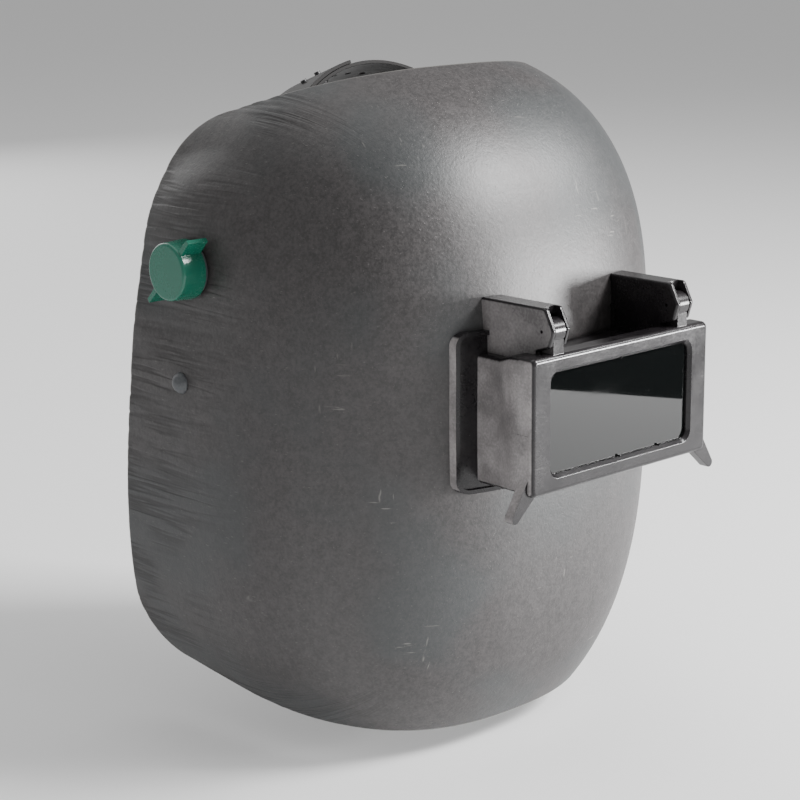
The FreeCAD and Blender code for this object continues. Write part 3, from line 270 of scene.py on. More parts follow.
@dataclass(frozen=True)
class PressedFibre:
    """Vulcanised fibre: felted grey-black grain, press creases by the rim darkened with painted shade,
    pale scuffs.
    """

    name: str = "pressed_fibre"
    dark: Colour = (0.020, 0.0175, 0.0175)
    light: Colour = (0.050, 0.045, 0.045)
    cool: Colour = (0.026, 0.034, 0.036)
    fleck: Colour = (0.26, 0.25, 0.23)
    # Painted shade: the dark colour laid into the press creases.
    shaded_crease: Colour = (0.012, 0.009, 0.009)

    def material(self) -> bpy.types.Material:
        """Build the material.

        Returns:
            The fibre material.
        """
        graph = Graph(self.name)
        point = graph.place()
        grain = graph.cloud(point, 760.0, 4.0, 0.62)
        felt = graph.cloud(point, 240.0, 4.0, 0.6)
        wide = graph.cloud(point, 14.0, 2.0, 0.5)
        body = graph.blend((grain * 0.6 + felt * 0.4).step(0.34, 0.66), self.dark, self.light)
        body = graph.blend(wide.step(0.42, 0.62) * 0.5, body, self.cool)
        fibres = self._fibres(graph, point)
        body = graph.blend(fibres * 0.16, body, self.fleck)
        scuffs = self._scuffs(graph, point)
        body = graph.blend(scuffs * 0.45, body, self.fleck)
        shaded_crease, near = self._creases(graph)
        # Painted shade: the creases are darkened in the base colour; the same mask also presses them in
        # through the bump.
        body = graph.blend(shaded_crease * 0.5, body, self.shaded_crease)
        rim = 1 - near.step(0.4, 1.5)
        body = graph.blend(rim * 0.35, body, self.fleck)
        rough = 0.40 + grain * 0.12 - scuffs * 0.06 + shaded_crease * 0.12
        height = grain * 0.5 + felt * 0.4 + fibres * 0.2 - shaded_crease * 1.3
        return graph.surface(Base_Color=body, Roughness=rough, Normal=graph.bump(height, 0.00022),
                             Specular_IOR_Level=0.7)

    def _fibres(self, graph: Graph, point: Signal) -> Signal:
        """Scatter short pale fibres in two directions.

        Args:
            graph: The node graph.
            point: The surface point.

        Returns:
            Mask of the fibres.
        """
        masks = []
        for turn in ((0.3, 0.5, 0.2), (1.4, -0.4, 0.9)):
            hair = graph.cloud(graph.stretched(point, (1100.0, 260.0, 1100.0), turn), 1.0, 1.0)
            masks.append(hair.step(0.70, 0.80))
        return masks[0] + masks[1]

    def _scuffs(self, graph: Graph, point: Signal) -> Signal:
        """Draw groups of thin pale scratches.

        Args:
            graph: The node graph.
            point: The surface point.

        Returns:
            Mask of the scratches.
        """
        line = graph.cloud(graph.stretched(point, (500.0, 45.0, 90.0), (0.5, 0.2, 0.7)), 1.0, 2.0)
        other = graph.cloud(graph.stretched(point, (90.0, 40.0, 620.0), (-0.4, 0.3, 0.2)), 1.0, 2.0)
        where = graph.cloud(point, 26.0, 2.0).step(0.60, 0.70)
        return (line.step(0.66, 0.74) + other.step(0.67, 0.75)) * where

    def _creases(self, graph: Graph) -> tuple[Signal, Signal]:
        """Draw the fine creases that run in from the rim.

        Args:
            graph: The node graph.

        Returns:
            Mask of the creases, and the distance from the rim in millimetres.
        """
        run = graph.node("ShaderNodeUVMap", {"uv_map": ShellSkin.UV_NAME})
        across, near = graph.part(run, 0) * 1000.0, graph.part(run, 1) * 1000.0
        ripple = graph.cloud(graph.spot(across * 0.17, near * 0.012), 1.0, 2.0, 0.55)
        line = 1 - (abs(ripple - 0.5) * 9.0).step(0.0, 1.0)
        patch = graph.cloud(graph.spot(across * 0.03, near * 0.02), 1.0, 1.0).step(0.40, 0.56)
        fade = 1 - near.step(8.0, 88.0)
        side = graph.part(graph.place(), 0)
        return line * patch * fade * abs(side).step(0.062, 0.095), near


@dataclass(frozen=True)
class MouldedPlastic:
    """Injection-moulded plastic with a faint flow mottle, handling wear and, where asked, a painted sheen
    that lightens its sideways faces.
    """

    name: str
    colour: Colour
    roughness: float = 0.32
    bloom: Colour = (0.12, 0.12, 0.12)
    bloom_share: float = 0.2
    grain: float = 0.00003
    coat: float = 0.0
    shine: float = 0.5
    # Strength of the painted sheen that lightens sideways faces in the base colour.
    side_sheen: float = 0.0
    # Colour of the painted sheen on sideways faces.
    dust_and_sheen: Colour = (0.40, 0.375, 0.375)

    def material(self) -> bpy.types.Material:
        """Build the material.

        Returns:
            The plastic material.
        """
        graph = Graph(self.name)
        point = graph.place()
        flow = graph.cloud(point, 60.0, 4.0, 0.6)
        speck = graph.cloud(point, 900.0, 2.0, 0.5)
        film = (flow * 0.6 + speck * 0.4).step(0.36, 0.72)
        body = graph.blend(film * self.bloom_share, self.colour, self.bloom)
        line = graph.cloud(graph.stretched(point, (60.0, 900.0, 420.0), (0.3, 0.8, 0.1)), 1.0, 2.0)
        rubbed = line.step(0.68, 0.76) * graph.cloud(point, 45.0, 1.0).step(0.52, 0.66)
        rough = self.roughness + film * 0.07 + rubbed * 0.1 - 0.03
        height = speck * 0.6 + flow * 0.4 - rubbed * 0.5
        # Painted sheen: faces that look sideways are lightened in the base colour, standing in for light
        # falling on the sides, and made rougher.
        if self.side_sheen > 0:
            sheen_mask = self._side_sheen(graph, point) * (0.55 + film * 0.45)
            body = graph.blend(sheen_mask * self.side_sheen, body, self.dust_and_sheen)
            rough = rough + sheen_mask * 0.25
        return graph.surface(Base_Color=body, Roughness=rough, Normal=graph.bump(height, self.grain),
                             Coat_Weight=self.coat, Specular_IOR_Level=self.shine)

    def _side_sheen(self, graph: Graph, point: Signal) -> Signal:
        """Find the faces that look sideways, away from the middle, which get the painted sheen.

        Args:
            graph: The node graph.
            point: The surface point.

        Returns:
            Mask of those faces.
        """
        across = graph.part(point, 0)
        sideways = graph.part(graph.node("ShaderNodeTexCoord", output="Normal"), 0)
        patch = graph.cloud(point, 45.0, 2.0).step(0.30, 0.62)
        return (across * sideways * 1000.0).step(39.0, 50.0) * (0.6 + patch * 0.4)


@dataclass(frozen=True)
class PlateGlass:
    """Polished dark lens plate that mirrors the room."""

    name: str = "dark_plate"
    colour: Colour = (0.003, 0.0035, 0.0035)
    bending: float = 1.5

    def material(self) -> bpy.types.Material:
        """Build the material.

        Returns:
            The glass material.
        """
        graph = Graph(self.name)
        point = graph.place()
        smear = graph.cloud(graph.stretched(point, (30.0, 30.0, 90.0)), 1.0, 3.0).step(0.45, 0.75)
        # Real dust specks on the glass.
        dust_and_sheen = graph.cloud(point, 1500.0, 1.0).step(0.74, 0.80)
        body = graph.blend(dust_and_sheen * 0.12, self.colour, (0.16, 0.16, 0.15))
        return graph.surface(Base_Color=body, Roughness=0.018 + smear * 0.03 + dust_and_sheen * 0.2,
                             IOR=self.bending)


@dataclass(frozen=True)
class ClearPlate:
    """Clear polycarbonate safety plate."""

    name: str = "clear_plate"

    def material(self) -> bpy.types.Material:
        """Build the material.

        Returns:
            The clear material.
        """
        graph = Graph(self.name)
        haze = graph.cloud(graph.place(), 120.0, 3.0).step(0.4, 0.8)
        return graph.surface(Base_Color=(0.86, 0.9, 0.89), Roughness=0.03 + haze * 0.05,
                             Alpha=0.22 + haze * 0.06, IOR=1.58)


@dataclass(frozen=True)
class Metal:
    """Turned or rolled metal with fine tool lines."""

    name: str
    colour: Colour
    roughness: float = 0.3

    def material(self) -> bpy.types.Material:
        """Build the material.

        Returns:
            The metal material.
        """
        graph = Graph(self.name)
        point = graph.place()
        lines = graph.cloud(graph.stretched(point, (2400.0, 240.0, 240.0)), 1.0, 2.0)
        stain = graph.cloud(point, 180.0, 3.0).step(0.45, 0.75)
        dull = tuple(0.62 * part for part in self.colour)
        body = graph.blend(stain * 0.5, self.colour, dull)
        return graph.surface(Base_Color=body, Metallic=1.0, Roughness=self.roughness + lines * 0.18,
                             Normal=graph.bump(lines, 0.00002))


@dataclass(frozen=True)
class TerryCloth:
    """Looped sweatband cloth with dark stretched patches."""

    name: str
    colour: Colour
    shade: Colour

    def material(self) -> bpy.types.Material:
        """Build the material.

        Returns:
            The cloth material.
        """
        graph = Graph(self.name)
        point = graph.place()
        loops = graph.node("ShaderNodeTexVoronoi", {"feature": "F1"},
                           {"Vector": graph.stretched(point, (900.0, 900.0, 760.0)), "Scale": 1.0})
        tuft = 1 - loops.step(0.0, 0.75)
        soil = graph.cloud(point, 28.0, 4.0).step(0.42, 0.70)
        body = graph.blend(tuft, self.shade, self.colour)
        body = graph.blend(soil * 0.45, body, self.shade)
        return graph.surface(Base_Color=body, Roughness=0.88 + tuft * 0.08,
                             Normal=graph.bump(tuft, 0.0005), Sheen_Weight=0.35,
                             Sheen_Roughness=0.6)


class Finish(Enum):
    """Every finish of the helmet."""

    FIBRE = PressedFibre()
    # The lens box's sideways faces get the painted sheen.
    HOUSING = MouldedPlastic("black_moulding", (0.0075, 0.0065, 0.0075), 0.22,
                             (0.034, 0.031, 0.032), 0.45, 0.00002, shine=0.36, side_sheen=0.95)
    NYLON = MouldedPlastic("black_nylon", (0.016, 0.016, 0.018), 0.36, (0.06, 0.06, 0.06), 0.3)
    STRAP = MouldedPlastic("strap_plastic", (0.010, 0.009, 0.009), 0.55, (0.05, 0.045, 0.042), 0.4,
                           shine=0.12)
    GREEN = MouldedPlastic("green_moulding", (0.004, 0.125, 0.078), 0.27, (0.012, 0.17, 0.11), 0.3,
                           coat=0.15)
    GREY = MouldedPlastic("grey_nylon", (0.062, 0.068, 0.074), 0.40, (0.14, 0.14, 0.145), 0.5,
                          0.00009)
    GLASS = PlateGlass()
    CLEAR = ClearPlate()
    STEEL = Metal("spring_steel", (0.56, 0.56, 0.57), 0.26)
    BRASS = Metal("brass_insert", (0.70, 0.50, 0.22), 0.24)
    CLOTH = TerryCloth("sweat_cloth", (0.125, 0.118, 0.110), (0.040, 0.037, 0.035))
    THREAD = TerryCloth("seam_thread", (0.30, 0.29, 0.27), (0.12, 0.11, 0.10))


class Dresser:
    """Gives pieces and frame nodes their finishes, one material for each."""

    def __init__(self) -> None:
        """Start with no material made."""
        self.made: dict[Finish, bpy.types.Material] = {}

    def dress(self, piece: bpy.types.Object, finish: Finish) -> None:
        """Put one finish on a whole piece.

        Args:
            piece: The object.
            finish: Its finish.
        """
        if finish not in self.made:
            self.made[finish] = finish.value.material()
        piece.data.materials.clear()
        piece.data.materials.append(self.made[finish])


# ---------------------------------------------------------------- mesh helpers


def mesh_piece(name: str, points: Sequence[Any], faces: Sequence[Sequence[int]]) -> bpy.types.Object:
    """Make an object from points and faces, with smooth outward faces.

    Args:
        name: The object's name.
        points: Corners in metres.
        faces: Corner numbers of each face.

    Returns:
        The linked object.
    """
    mesh = bpy.data.meshes.new(name)
    mesh.from_pydata([tuple(point) for point in points], [], [tuple(face) for face in faces])
    mesh.validate()
    editor = bmesh.new()
    editor.from_mesh(mesh)
    bmesh.ops.recalc_face_normals(editor, faces=editor.faces)
    editor.to_mesh(mesh)
    editor.free()
    mesh.shade_smooth()
    piece = bpy.data.objects.new(name, mesh)
    bpy.context.scene.collection.objects.link(piece)
    return piece


def join_pieces(name: str, pieces: Sequence[bpy.types.Object]) -> bpy.types.Object:
    """Join several mesh objects into one.

    Args:
        name: Name of the joined object.
        pieces: The objects, which are used up.

    Returns:
        The joined object.
    """
    editor = bmesh.new()
    for piece in pieces:
        editor.from_mesh(piece.data)
        bpy.data.objects.remove(piece)
    mesh = bpy.data.meshes.new(name)
    editor.to_mesh(mesh)
    editor.free()
    joined = bpy.data.objects.new(name, mesh)
    bpy.context.scene.collection.objects.link(joined)
    return joined


def apply_modifiers(piece: bpy.types.Object) -> None:
    """Write a piece's modifiers into its mesh.

    Args:
        piece: The object.
    """
    bpy.context.view_layer.update()
    shape = piece.evaluated_get(bpy.context.evaluated_depsgraph_get())
    mesh = bpy.data.meshes.new_from_object(shape)
    piece.modifiers.clear()
    piece.data = mesh


def softened_copy(node: str, name: str, width: float, angle: float = 32.0) -> bpy.types.Object:
    """Copy a frame node with its sharp edges rounded, as a moulding has them.

    Args:
        node: The frame node, which the copy stands for.
        name: Name of the copy.
        width: Width of the rounding, in metres.
        angle: Edges that turn by more than this, in degrees, are rounded.

    Returns:
        The rounded copy.
    """
    source = bpy.data.objects[node]
    mesh = source.data.copy()
    editor = bmesh.new()
    editor.from_mesh(mesh)
    bmesh.ops.remove_doubles(editor, verts=editor.verts, dist=WELD_GAP)
    bmesh.ops.dissolve_limit(editor, angle_limit=math.radians(FLAT_DEGREES), verts=editor.verts,
                             edges=editor.edges)
    editor.to_mesh(mesh)
    editor.free()
    mesh.name = name
    piece = bpy.data.objects.new(name, mesh)
    bpy.context.scene.collection.objects.link(piece)
    mesh.shade_smooth()
    rounding = piece.modifiers.new("rounding", "BEVEL")
    rounding.limit_method = "ANGLE"
    rounding.angle_limit = math.radians(angle)
    rounding.width = width
    rounding.segments = 3
    rounding.use_clamp_overlap = True
    rounding.harden_normals = True
    even = piece.modifiers.new("even_shading", "WEIGHTED_NORMAL")
    even.keep_sharp = True
    apply_modifiers(piece)
    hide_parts(node)
    return piece


def ring_faces(rings: int, sides: int, closed: bool) -> list[tuple[int, ...]]:
    """Join neighbouring rings of points with quads.

    Args:
        rings: Number of rings.
        sides: Points in each ring.
        closed: Whether the last ring joins the first.

    Returns:
        Corner numbers of each quad.
    """
    return [(a * sides + b, a * sides + (b + 1) % sides,
             (a + 1) % rings * sides + (b + 1) % sides, (a + 1) % rings * sides + b)
            for a in range(rings if closed else rings - 1) for b in range(sides)]


def tube_ring(name: str, centre: Vector, axis: Vector, radius: float, gauge: float,
              steps: int = 48) -> bpy.types.Object:
    """Make a thin ring of round wire.

    Args:
        name: The object's name.
        centre: Middle of the ring.
        axis: The ring's axis.
        radius: Radius of the wire's middle line.
        gauge: Radius of the wire.
        steps: Segments round the ring.

    Returns:
        The ring.
    """
    first = axis.orthogonal().normalized()
    second = axis.cross(first).normalized()
    sides = 8
    points = []
    for step in range(steps):
        turn = 2 * math.pi * step / steps
        out = first * math.cos(turn) + second * math.sin(turn)
        for side in range(sides):
            roll = 2 * math.pi * side / sides
            reach = radius + gauge * math.cos(roll)
            points.append(centre + out * reach + axis * gauge * math.sin(roll))
    return mesh_piece(name, points, ring_faces(steps, sides, True))


# ---------------------------------------------------------------- shell


@dataclass
class ShellSkin:
    """The pressed shell: a superellipse dome with a trimmed edge, 2 mm thick, in millimetres."""

    UV_NAME = "rim_run"

    half_width: float = 118.0
    rise: float = 150.4
    drop: float = 190.2
    middle_z: float = -60.6
    dome_depth: float = 108.7
    dome_start_y: float = -3.8
    upper_power: float = 2.86
    lower_power: float = 2.58
    power_up: float = 3.12
    power_side: float = 2.58
    power_front: float = 2.15
    wall: float = 2.0
    seat_x: float = 115.0
    seat_flat: float = 17.0
    seat_blend: float = 52.0
    crown: tuple[float, float] = (-19.6, 74.1)
    rear_top: tuple[float, float] = (28.2, 58.3)
    rear_bottom: tuple[float, float] = (62.3, -186.4)
    chin: tuple[float, float] = (-118.2, -217.8)
    top_round: float = 30.6
    bottom_round: float = 27.2
    window_width: float = 92.0
    window_height: float = 46.0
    window_round: float = 8.0
    window_z: float = -56.5
    around: int = 1040
    outer_rows: int = 72
    inner_rows: int = 26
    crease_depth: float = 0.62
    crease_reach: float = 90.0
    crease_side_x: float = 55.0
    rim_radius: float = 0.45

    def surface(self, angle: np.ndarray, y: np.ndarray) -> np.ndarray:
        """Points of the outer surface.

        Args:
            angle: Section angle of each point, from +X towards +Z.
            y: Place of each point along Y.

        Returns:
            Array of points, with x, y and z last.
        """
        cosine, sine = np.cos(angle), np.sin(angle)
        upper = sine >= 0
        height = np.where(upper, self.rise, self.drop)
        power = np.where(upper, self.upper_power, self.lower_power)
        reach = (np.abs(cosine / self.half_width) ** power
                 + np.abs(sine / height) ** power) ** (-1 / power)
        depth = np.clip((self.dome_start_y - y) / self.dome_depth, 0.0, 1.0)
        local = self.power_side * cosine ** 2 + self.power_up * sine ** 2
        reach = reach * (1 - depth ** self.power_front) ** (1 / local)
        x = reach * cosine
        z = self.middle_z + reach * sine
        off = np.hypot(y, z)
        flat = np.clip((self.seat_blend - off) / (self.seat_blend - self.seat_flat), 0.0, 1.0)
        flat = flat * flat * (3 - 2 * flat) * (np.abs(x) > self.half_width / 2)
        x = x + flat * (np.sign(x) * self.seat_x - x)
        return np.stack([x, y, z], axis=-1)

    def _lines(self) -> list[tuple[np.ndarray, np.ndarray]]:
        """Describe each straight edge of the side view.

        Returns:
            A point and an outward normal for each edge.
        """
        corners = [np.array(spot) for spot in (self.crown, self.rear_top, self.rear_bottom, self.chin)]
        middle = np.array([0.0, self.middle_z])
        lines = []
        for start, end in zip(corners, corners[1:]):
            along = (end - start) / np.linalg.norm(end - start)
            normal = np.array([-along[1], along[0]])
            if np.dot(middle - start, normal) > 0:
                normal = -normal
            lines.append((start, normal))
        return lines

    def edge_overrun(self, points: np.ndarray) -> np.ndarray:
        """How far points lie outside the trimmed edge in the side view.

        Args:
            points: Array of points.

        Returns:
            Distance outside, negative inside.
        """
        flat = points[..., 1:3]
        lines = self._lines()
        over = np.stack([(flat - start) @ normal for start, normal in lines]).max(axis=0)
        for index, radius in ((0, self.top_round), (1, self.bottom_round)):
            (_, before), (start, after) = lines[index], lines[index + 1]
            half = (before + after) / (1 + before @ after)
            centre = start - half * radius
            spoke = flat - centre
            turn = before[0] * after[1] - before[1] * after[0]
            first = (before[0] * spoke[..., 1] - before[1] * spoke[..., 0]) * turn
            second = (spoke[..., 0] * after[1] - spoke[..., 1] * after[0]) * turn
            inside_wedge = (first > 0) & (second > 0)
            over = np.where(inside_wedge, np.linalg.norm(spoke, axis=-1) - radius, over)
        return over

    def window_overrun(self, points: np.ndarray) -> np.ndarray:
        """How far points lie outside the lens window in the front view.

        Args:
            points: Array of points.

        Returns:
            Distance outside, negative inside.
        """
        across = np.abs(points[..., 0]) - (self.window_width / 2 - self.window_round)
        above = np.abs(points[..., 2] - self.window_z) - (self.window_height / 2 - self.window_round)
        corner = np.hypot(np.maximum(across, 0), np.maximum(above, 0))
        inside = np.minimum(np.maximum(across, above), 0)
        return corner + inside - self.window_round

    def meridians(self) -> tuple[np.ndarray, np.ndarray]:
        """Evenly spaced points from the window's edge to the trimmed edge, for every angle.

        Returns:
            The points, and each point's distance from the trimmed edge.
        """
        angles = np.linspace(0, 2 * math.pi, self.around, endpoint=False) - math.pi / 2
        bends = np.linspace(0.02, math.pi / 2, 260)
        rear = np.linspace(self.dome_start_y, self.rear_bottom[0] + 20, 120)[1:]
        stations = np.concatenate([self.dome_start_y - self.dome_depth * np.cos(bends), rear])
        grid = self.surface(angles[:, None], np.broadcast_to(stations, (self.around, stations.size)))
        past_window = self.window_overrun(grid)
        past_edge = self.edge_overrun(grid)
        points = np.empty((self.around, self.outer_rows, 3))
        gaps = np.empty((self.around, self.outer_rows))
        shares = 1 - (1 - np.linspace(0, 1, self.outer_rows)) ** 1.25
        for index in range(self.around):
            path = grid[index]
            run = np.concatenate([[0], np.cumsum(np.linalg.norm(np.diff(path, axis=0), axis=1))])
            start = self._crossing(past_window[index], run)
            end = self._crossing(past_edge[index], run)
            wanted = start + (end - start) * shares
            for axis in range(3):
                points[index, :, axis] = np.interp(wanted, run, path[:, axis])
            gaps[index] = end - wanted
        return points, gaps

    @staticmethod
    def _crossing(over: np.ndarray, run: np.ndarray) -> float:
        """Find where a distance first turns positive.

        Args:
            over: Distance at each station.
            run: Length of the path at each station.

        Returns:
            Length of the path at the crossing.
        """
        last = int(np.argmax(over > 0))
        share = over[last - 1] / (over[last - 1] - over[last])
        return float(run[last - 1] + share * (run[last] - run[last - 1]))

    @staticmethod
    def normals(points: np.ndarray) -> tuple[np.ndarray, np.ndarray]:
        """Outward normals and the directions that run towards the rim.

        Args:
            points: Grid of points, around first.

        Returns:
            Unit normals and unit directions.
        """
        around = np.roll(points, -1, axis=0) - np.roll(points, 1, axis=0)
        along = np.gradient(points, axis=1)
        normal = np.cross(around, along)
        normal /= np.linalg.norm(normal, axis=-1, keepdims=True)
        outward = points - np.array([0.0, 40.0, -60.0])
        sign = np.sign((normal * outward).sum(axis=-1, keepdims=True))
        along /= np.linalg.norm(along, axis=-1, keepdims=True)
        return normal * sign, along

    def creases(self, points: np.ndarray, gaps: np.ndarray, run: np.ndarray) -> np.ndarray:
        """Depth of the press creases that run in from the rear edge.

        Args:
            points: Grid of points.
            gaps: Distance of each point from the rim.
            run: Distance round the rim, for every angle.

        Returns:
            How far each point is pressed inwards.
        """
        depth = np.zeros(gaps.shape)
        reach, side_x = self.crease_reach, self.crease_side_x
        for index, row in np.argwhere((gaps < reach) & (np.abs(points[..., 0]) > side_x)):
            gap = gaps[index, row]
            spot = Vector((run[index] * 0.115, gap * 0.013, 3.0))
            fold = max(0.0, 1 - abs(noise.noise(spot)) * 3.6) ** 2
            group = noise.noise(Vector((run[index] * 0.03, gap * 0.01, 5.0)))
            group = min(max(0.5 + group * 1.6, 0.15), 1.0)
            side = min(max((abs(points[index, row, 0]) - side_x) / 35, 0.0), 1.0)
            lower = 1 - 0.65 * min(max((-40 - points[index, row, 2]) / 80, 0.0), 1.0)
            depth[index, row] = fold * group * side * lower * (1 - gap / reach) ** 1.4
        return depth * self.crease_depth

    def build(self, dresser: Dresser) -> None:
        """Build the shell piece.

        Args:
            dresser: Gives the finish.
        """
        points, gaps = self.meridians()
        normal, along = self.normals(points)
        rim = points[:, -1]
        run = np.concatenate([[0], np.cumsum(np.linalg.norm(np.diff(rim, axis=0), axis=1))])
        points = points - normal * self.creases(points, gaps, run)[..., None]
        rows = [points[:, row] for row in range(self.outer_rows - 1)]
        row_gaps = [gaps[:, row] for row in range(self.outer_rows - 1)]
        edge_normal, edge_along = normal[:, -1], along[:, -1]
        middle = points[:, -1] - edge_normal * self.wall / 2 - edge_along * self.rim_radius
        for step in range(7):
            turn = math.radians(90 - 30 * step)
            rows.append(middle + edge_normal * (self.wall / 2 * math.sin(turn))
                        + edge_along * (self.rim_radius * math.cos(turn)))
            row_gaps.append(np.zeros(self.around))
        inner = points - normal * self.wall
        picks = np.linspace(self.outer_rows - 2, 0, self.inner_rows).astype(int)
        for row in picks:
            rows.append(inner[:, row])
            row_gaps.append(gaps[:, row])
        piece = self._skin(rows, row_gaps, run)
        dresser.dress(piece, Finish.FIBRE)
        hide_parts("fibre_shell")
        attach(piece, "shell")

    def _skin(self, rows: list[np.ndarray], gaps: list[np.ndarray], run: np.ndarray) -> bpy.types.Object:
        """Close the rows into one mesh with its rim map.

        Args:
            rows: Points of each row, in order round the wall's section.
            gaps: Distance from the rim in each row.
            run: Distance round the rim.

        Returns:
            The shell object.
        """
        total = len(rows)
        piece = mesh_piece("shell_skin", np.concatenate(rows) * MM,
                           ring_faces(total, self.around, True))
        layer = piece.data.uv_layers.new(name=self.UV_NAME)
        places = np.empty(len(piece.data.loops), dtype=np.int64)
        piece.data.loops.foreach_get("vertex_index", places)
        flat_gaps = np.concatenate(gaps) * MM
        values = np.stack([np.tile(run, total)[places] * MM, flat_gaps[places]], axis=1)
        layer.data.foreach_set("uv", values.astype(np.float32).ravel())
        return piece


# ---------------------------------------------------------------- lens holder


@dataclass
class LensHolder:
    """Fixed lens box, lift front, its plates and its small moulded details."""

    housing_edge: float = 0.75 * MM
    frame_edge: float = 0.6 * MM
    nub_radius: float = 0.75 * MM
    nub_offset: float = 26.0 * MM
    window_height: float = 43.3 * MM
    frame_width: float = 112.6 * MM
    ridge_drop: float = 3.0 * MM
    ridge_rise: float = 0.16 * MM
    ridge_proud: float = 0.12 * MM
    ridge_from: float = 2.4 * MM
    ridge_to: float = 8.2 * MM

    def build(self, dresser: Dresser) -> None:
        """Build the holder's pieces.

        Args:
            dresser: Gives the finishes.
        """
        housing = softened_copy("visor_housing", "lens_box", self.housing_edge)
        frame = softened_copy("lift_frame", "lift_front_frame", self.frame_edge)
        for piece, body in ((housing, "shell"), (frame, "lift_front")):
            dresser.dress(piece, Finish.HOUSING)
            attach(piece, body)
        for piece in (self._nubs(), self._parting_ridge()):
            dresser.dress(piece, Finish.HOUSING)
            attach(piece, "lift_front")

    def _nubs(self) -> bpy.types.Object:
        """Make the retaining nubs at the window's edges.

        Returns:
            The nubs, joined.
        """
        low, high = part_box("cover_plate")
        face_y = low.y - 0.1 * MM
        opening = self.window_height / 2
        middle = (low.z + high.z) / 2
        spots = ((0.0, middle + opening), (0.0, middle - opening), (self.nub_offset, middle - opening))
        pieces = []
        for index, (x, z) in enumerate(spots):
            ring = tube_ring("nub_%d" % index, Vector((x, face_y - self.nub_radius, z)),
                             Vector((1, 0, 0)), self.nub_radius * 0.5, self.nub_radius * 0.5, 12)
            pieces.append(ring)
        return join_pieces("window_nubs", pieces)

    def _parting_ridge(self) -> bpy.types.Object:
        """Make the fine parting line round the frame's sides at half height.

        Returns:
            The two short ridges, joined.
        """
        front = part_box("lift_frame")[0].y
        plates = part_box("cover_plate")
        middle = (plates[0].z + plates[1].z) / 2 - self.ridge_drop
        half = self.frame_width / 2
        pieces = []
        for name, sign in SIDES:
            x = sign * half
            y_from, y_to = front + self.ridge_from, front + self.ridge_to
            rise, proud = self.ridge_rise, self.ridge_proud
            points = [(x - sign * proud, y_from, middle - rise), (x + sign * proud, y_from, middle),
                      (x - sign * proud, y_from, middle + rise), (x - sign * proud, y_to, middle - rise),
                      (x + sign * proud, y_to, middle), (x - sign * proud, y_to, middle + rise)]
            faces = [(0, 1, 2), (3, 4, 5), (0, 1, 4, 3), (1, 2, 5, 4), (2, 0, 3, 5)]
            pieces.append(mesh_piece("ridge_" + name, points, faces))
        return join_pieces("parting_ridges", pieces)


# ---------------------------------------------------------------- headgear


